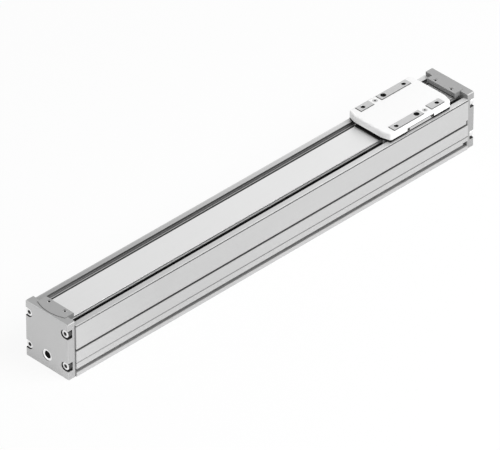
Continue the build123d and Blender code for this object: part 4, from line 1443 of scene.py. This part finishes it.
def studio_world(ambient):
    """Even light all round, seen as white by the camera and in reflections."""
    world = bpy.data.worlds.new("studio_world")
    bpy.context.scene.world = world
    world.use_nodes = True
    tree = world.node_tree
    even = tree.nodes["Background"]
    even.inputs["Color"].default_value = WHITE
    even.inputs["Strength"].default_value = ambient
    white = add_node(tree, "ShaderNodeBackground", {"Color": WHITE})
    seen = seen_share(tree, "Is Glossy Ray", "Is Transmission Ray")
    mix_sockets = {"Fac": seen, 1: even.outputs["Background"], 2: white.outputs["Background"]}
    mix = add_node(tree, "ShaderNodeMixShader", mix_sockets)
    tree.links.new(mix.outputs["Shader"], tree.nodes["World Output"].inputs["Surface"])


def studio_floor(studio):
    """Pale floor that keeps the shadow and fades into the white backdrop."""
    clear_choice()
    bpy.ops.mesh.primitive_plane_add(size=FLOOR_SIZE, location=(0, 0, CAD_BOX[0][2] - FLOOR_GAP))
    floor = bpy.context.object
    floor.name = "studio_floor"
    settle(floor)
    material = bpy.data.materials.new("pale_floor")
    material.use_nodes = True
    tree = material.node_tree
    shader = tree.nodes["Principled BSDF"]
    shader.inputs["Roughness"].default_value = 0.9
    shader.inputs["Specular IOR Level"].default_value = 0.0
    place = add_node(tree, "ShaderNodeTexCoord").outputs["Object"]
    noise = add_node(tree, "ShaderNodeTexNoise", {"Scale": 30.0, "Vector": place}).outputs["Fac"]
    tone_sockets = {
        "To Min": studio.floor_white - FLOOR_SWING,
        "To Max": studio.floor_white + FLOOR_SWING,
        "Value": noise,
    }
    tone = add_node(tree, "ShaderNodeMapRange", tone_sockets)
    tree.links.new(tone.outputs["Result"], shader.inputs["Base Color"])
    glow = add_node(tree, "ShaderNodeEmission").outputs["Emission"]
    share = calculate(tree, "MULTIPLY", seen_share(tree, "Is Glossy Ray"), studio.floor_glow)
    mix = add_node(tree, "ShaderNodeMixShader", {"Fac": share, 1: shader.outputs["BSDF"], 2: glow})
    tree.links.new(mix.outputs["Shader"], tree.nodes["Material Output"].inputs["Surface"])
    floor.data.materials.append(material)


def studio_camera(studio):
    """Camera at the photograph's angle."""
    azimuth, elevation = studio.azimuth, studio.elevation
    right = Vector((math.cos(azimuth), math.sin(azimuth), 0))
    back = Vector(
        (
            math.sin(azimuth) * math.cos(elevation),
            -math.cos(azimuth) * math.cos(elevation),
            math.sin(elevation),
        )
    )
    up = back.cross(right)
    aim = Vector((0, 0, AIM_HEIGHT)) - AIM_LEFT * right - AIM_DOWN * up
    camera = bpy.data.cameras.new("studio_camera")
    camera.sensor_width = 36
    camera.lens = studio.lens
    holder = bpy.data.objects.new("studio_camera", camera)
    bpy.context.scene.collection.objects.link(holder)
    holder.location = aim + studio.distance * back
    holder.rotation_euler = back.to_track_quat("Z", "Y").to_euler()
    bpy.context.scene.camera = holder


class GUIDEAXIS_OT_studio(Operator):
    """Set up the floor, the lamps, the world and the camera"""

    bl_idname = "guide_axis.studio"
    bl_label = "Studio"

    def execute(self, context):
        studio = context.scene.guide_axis_studio
        studio_floor(studio)
        studio_world(studio.ambient)
        studio_lamp("key_lamp", studio.key_power, direction=(0.35, -0.8, 1.0), distance=1.7, size=1.2)
        studio_lamp("fill_lamp", studio.fill_power, direction=(-1.0, 0.1, 0.5), distance=2.2, size=1.6)
        studio_camera(studio)
        context.scene.view_settings.view_transform = "Standard"
        return {"FINISHED"}


class GUIDEAXIS_PT_panel(Panel):
    """Sizes, colours and steps of the guide axis"""

    bl_idname = "GUIDEAXIS_PT_panel"
    bl_label = "Guide Axis"
    bl_space_type = "VIEW_3D"
    bl_region_type = "UI"
    bl_category = "Guide Axis"

    def draw(self, context):
        scene = context.scene
        for group in (scene.guide_axis_sizes, scene.guide_axis_colours, scene.guide_axis_studio):
            box = self.layout.box()
            for key in group.__annotations__:
                box.prop(group, key)
        for step in STEPS:
            self.layout.operator(step.bl_idname)


STEPS = (
    GUIDEAXIS_OT_finishes,
    GUIDEAXIS_OT_end_caps,
    GUIDEAXIS_OT_cap_screws,
    GUIDEAXIS_OT_slide,
    GUIDEAXIS_OT_cover,
    GUIDEAXIS_OT_studio,
)
CLASSES = (GuideAxisSizes, GuideAxisColours, GuideAxisStudio, *STEPS, GUIDEAXIS_PT_panel)


def register():
    for item in CLASSES:
        bpy.utils.register_class(item)
    bpy.types.Scene.guide_axis_sizes = PointerProperty(type=GuideAxisSizes)
    bpy.types.Scene.guide_axis_colours = PointerProperty(type=GuideAxisColours)
    bpy.types.Scene.guide_axis_studio = PointerProperty(type=GuideAxisStudio)


def unregister():
    del bpy.types.Scene.guide_axis_studio
    del bpy.types.Scene.guide_axis_colours
    del bpy.types.Scene.guide_axis_sizes
    for item in reversed(CLASSES):
        bpy.utils.unregister_class(item)


def main():
    register()
    bpy.ops.guide_axis.finishes()
    bpy.ops.guide_axis.end_caps()
    bpy.ops.guide_axis.cap_screws()
    bpy.ops.guide_axis.slide()
    bpy.ops.guide_axis.cover()
    bpy.ops.guide_axis.studio()


if __name__ == "__main__":
    main()
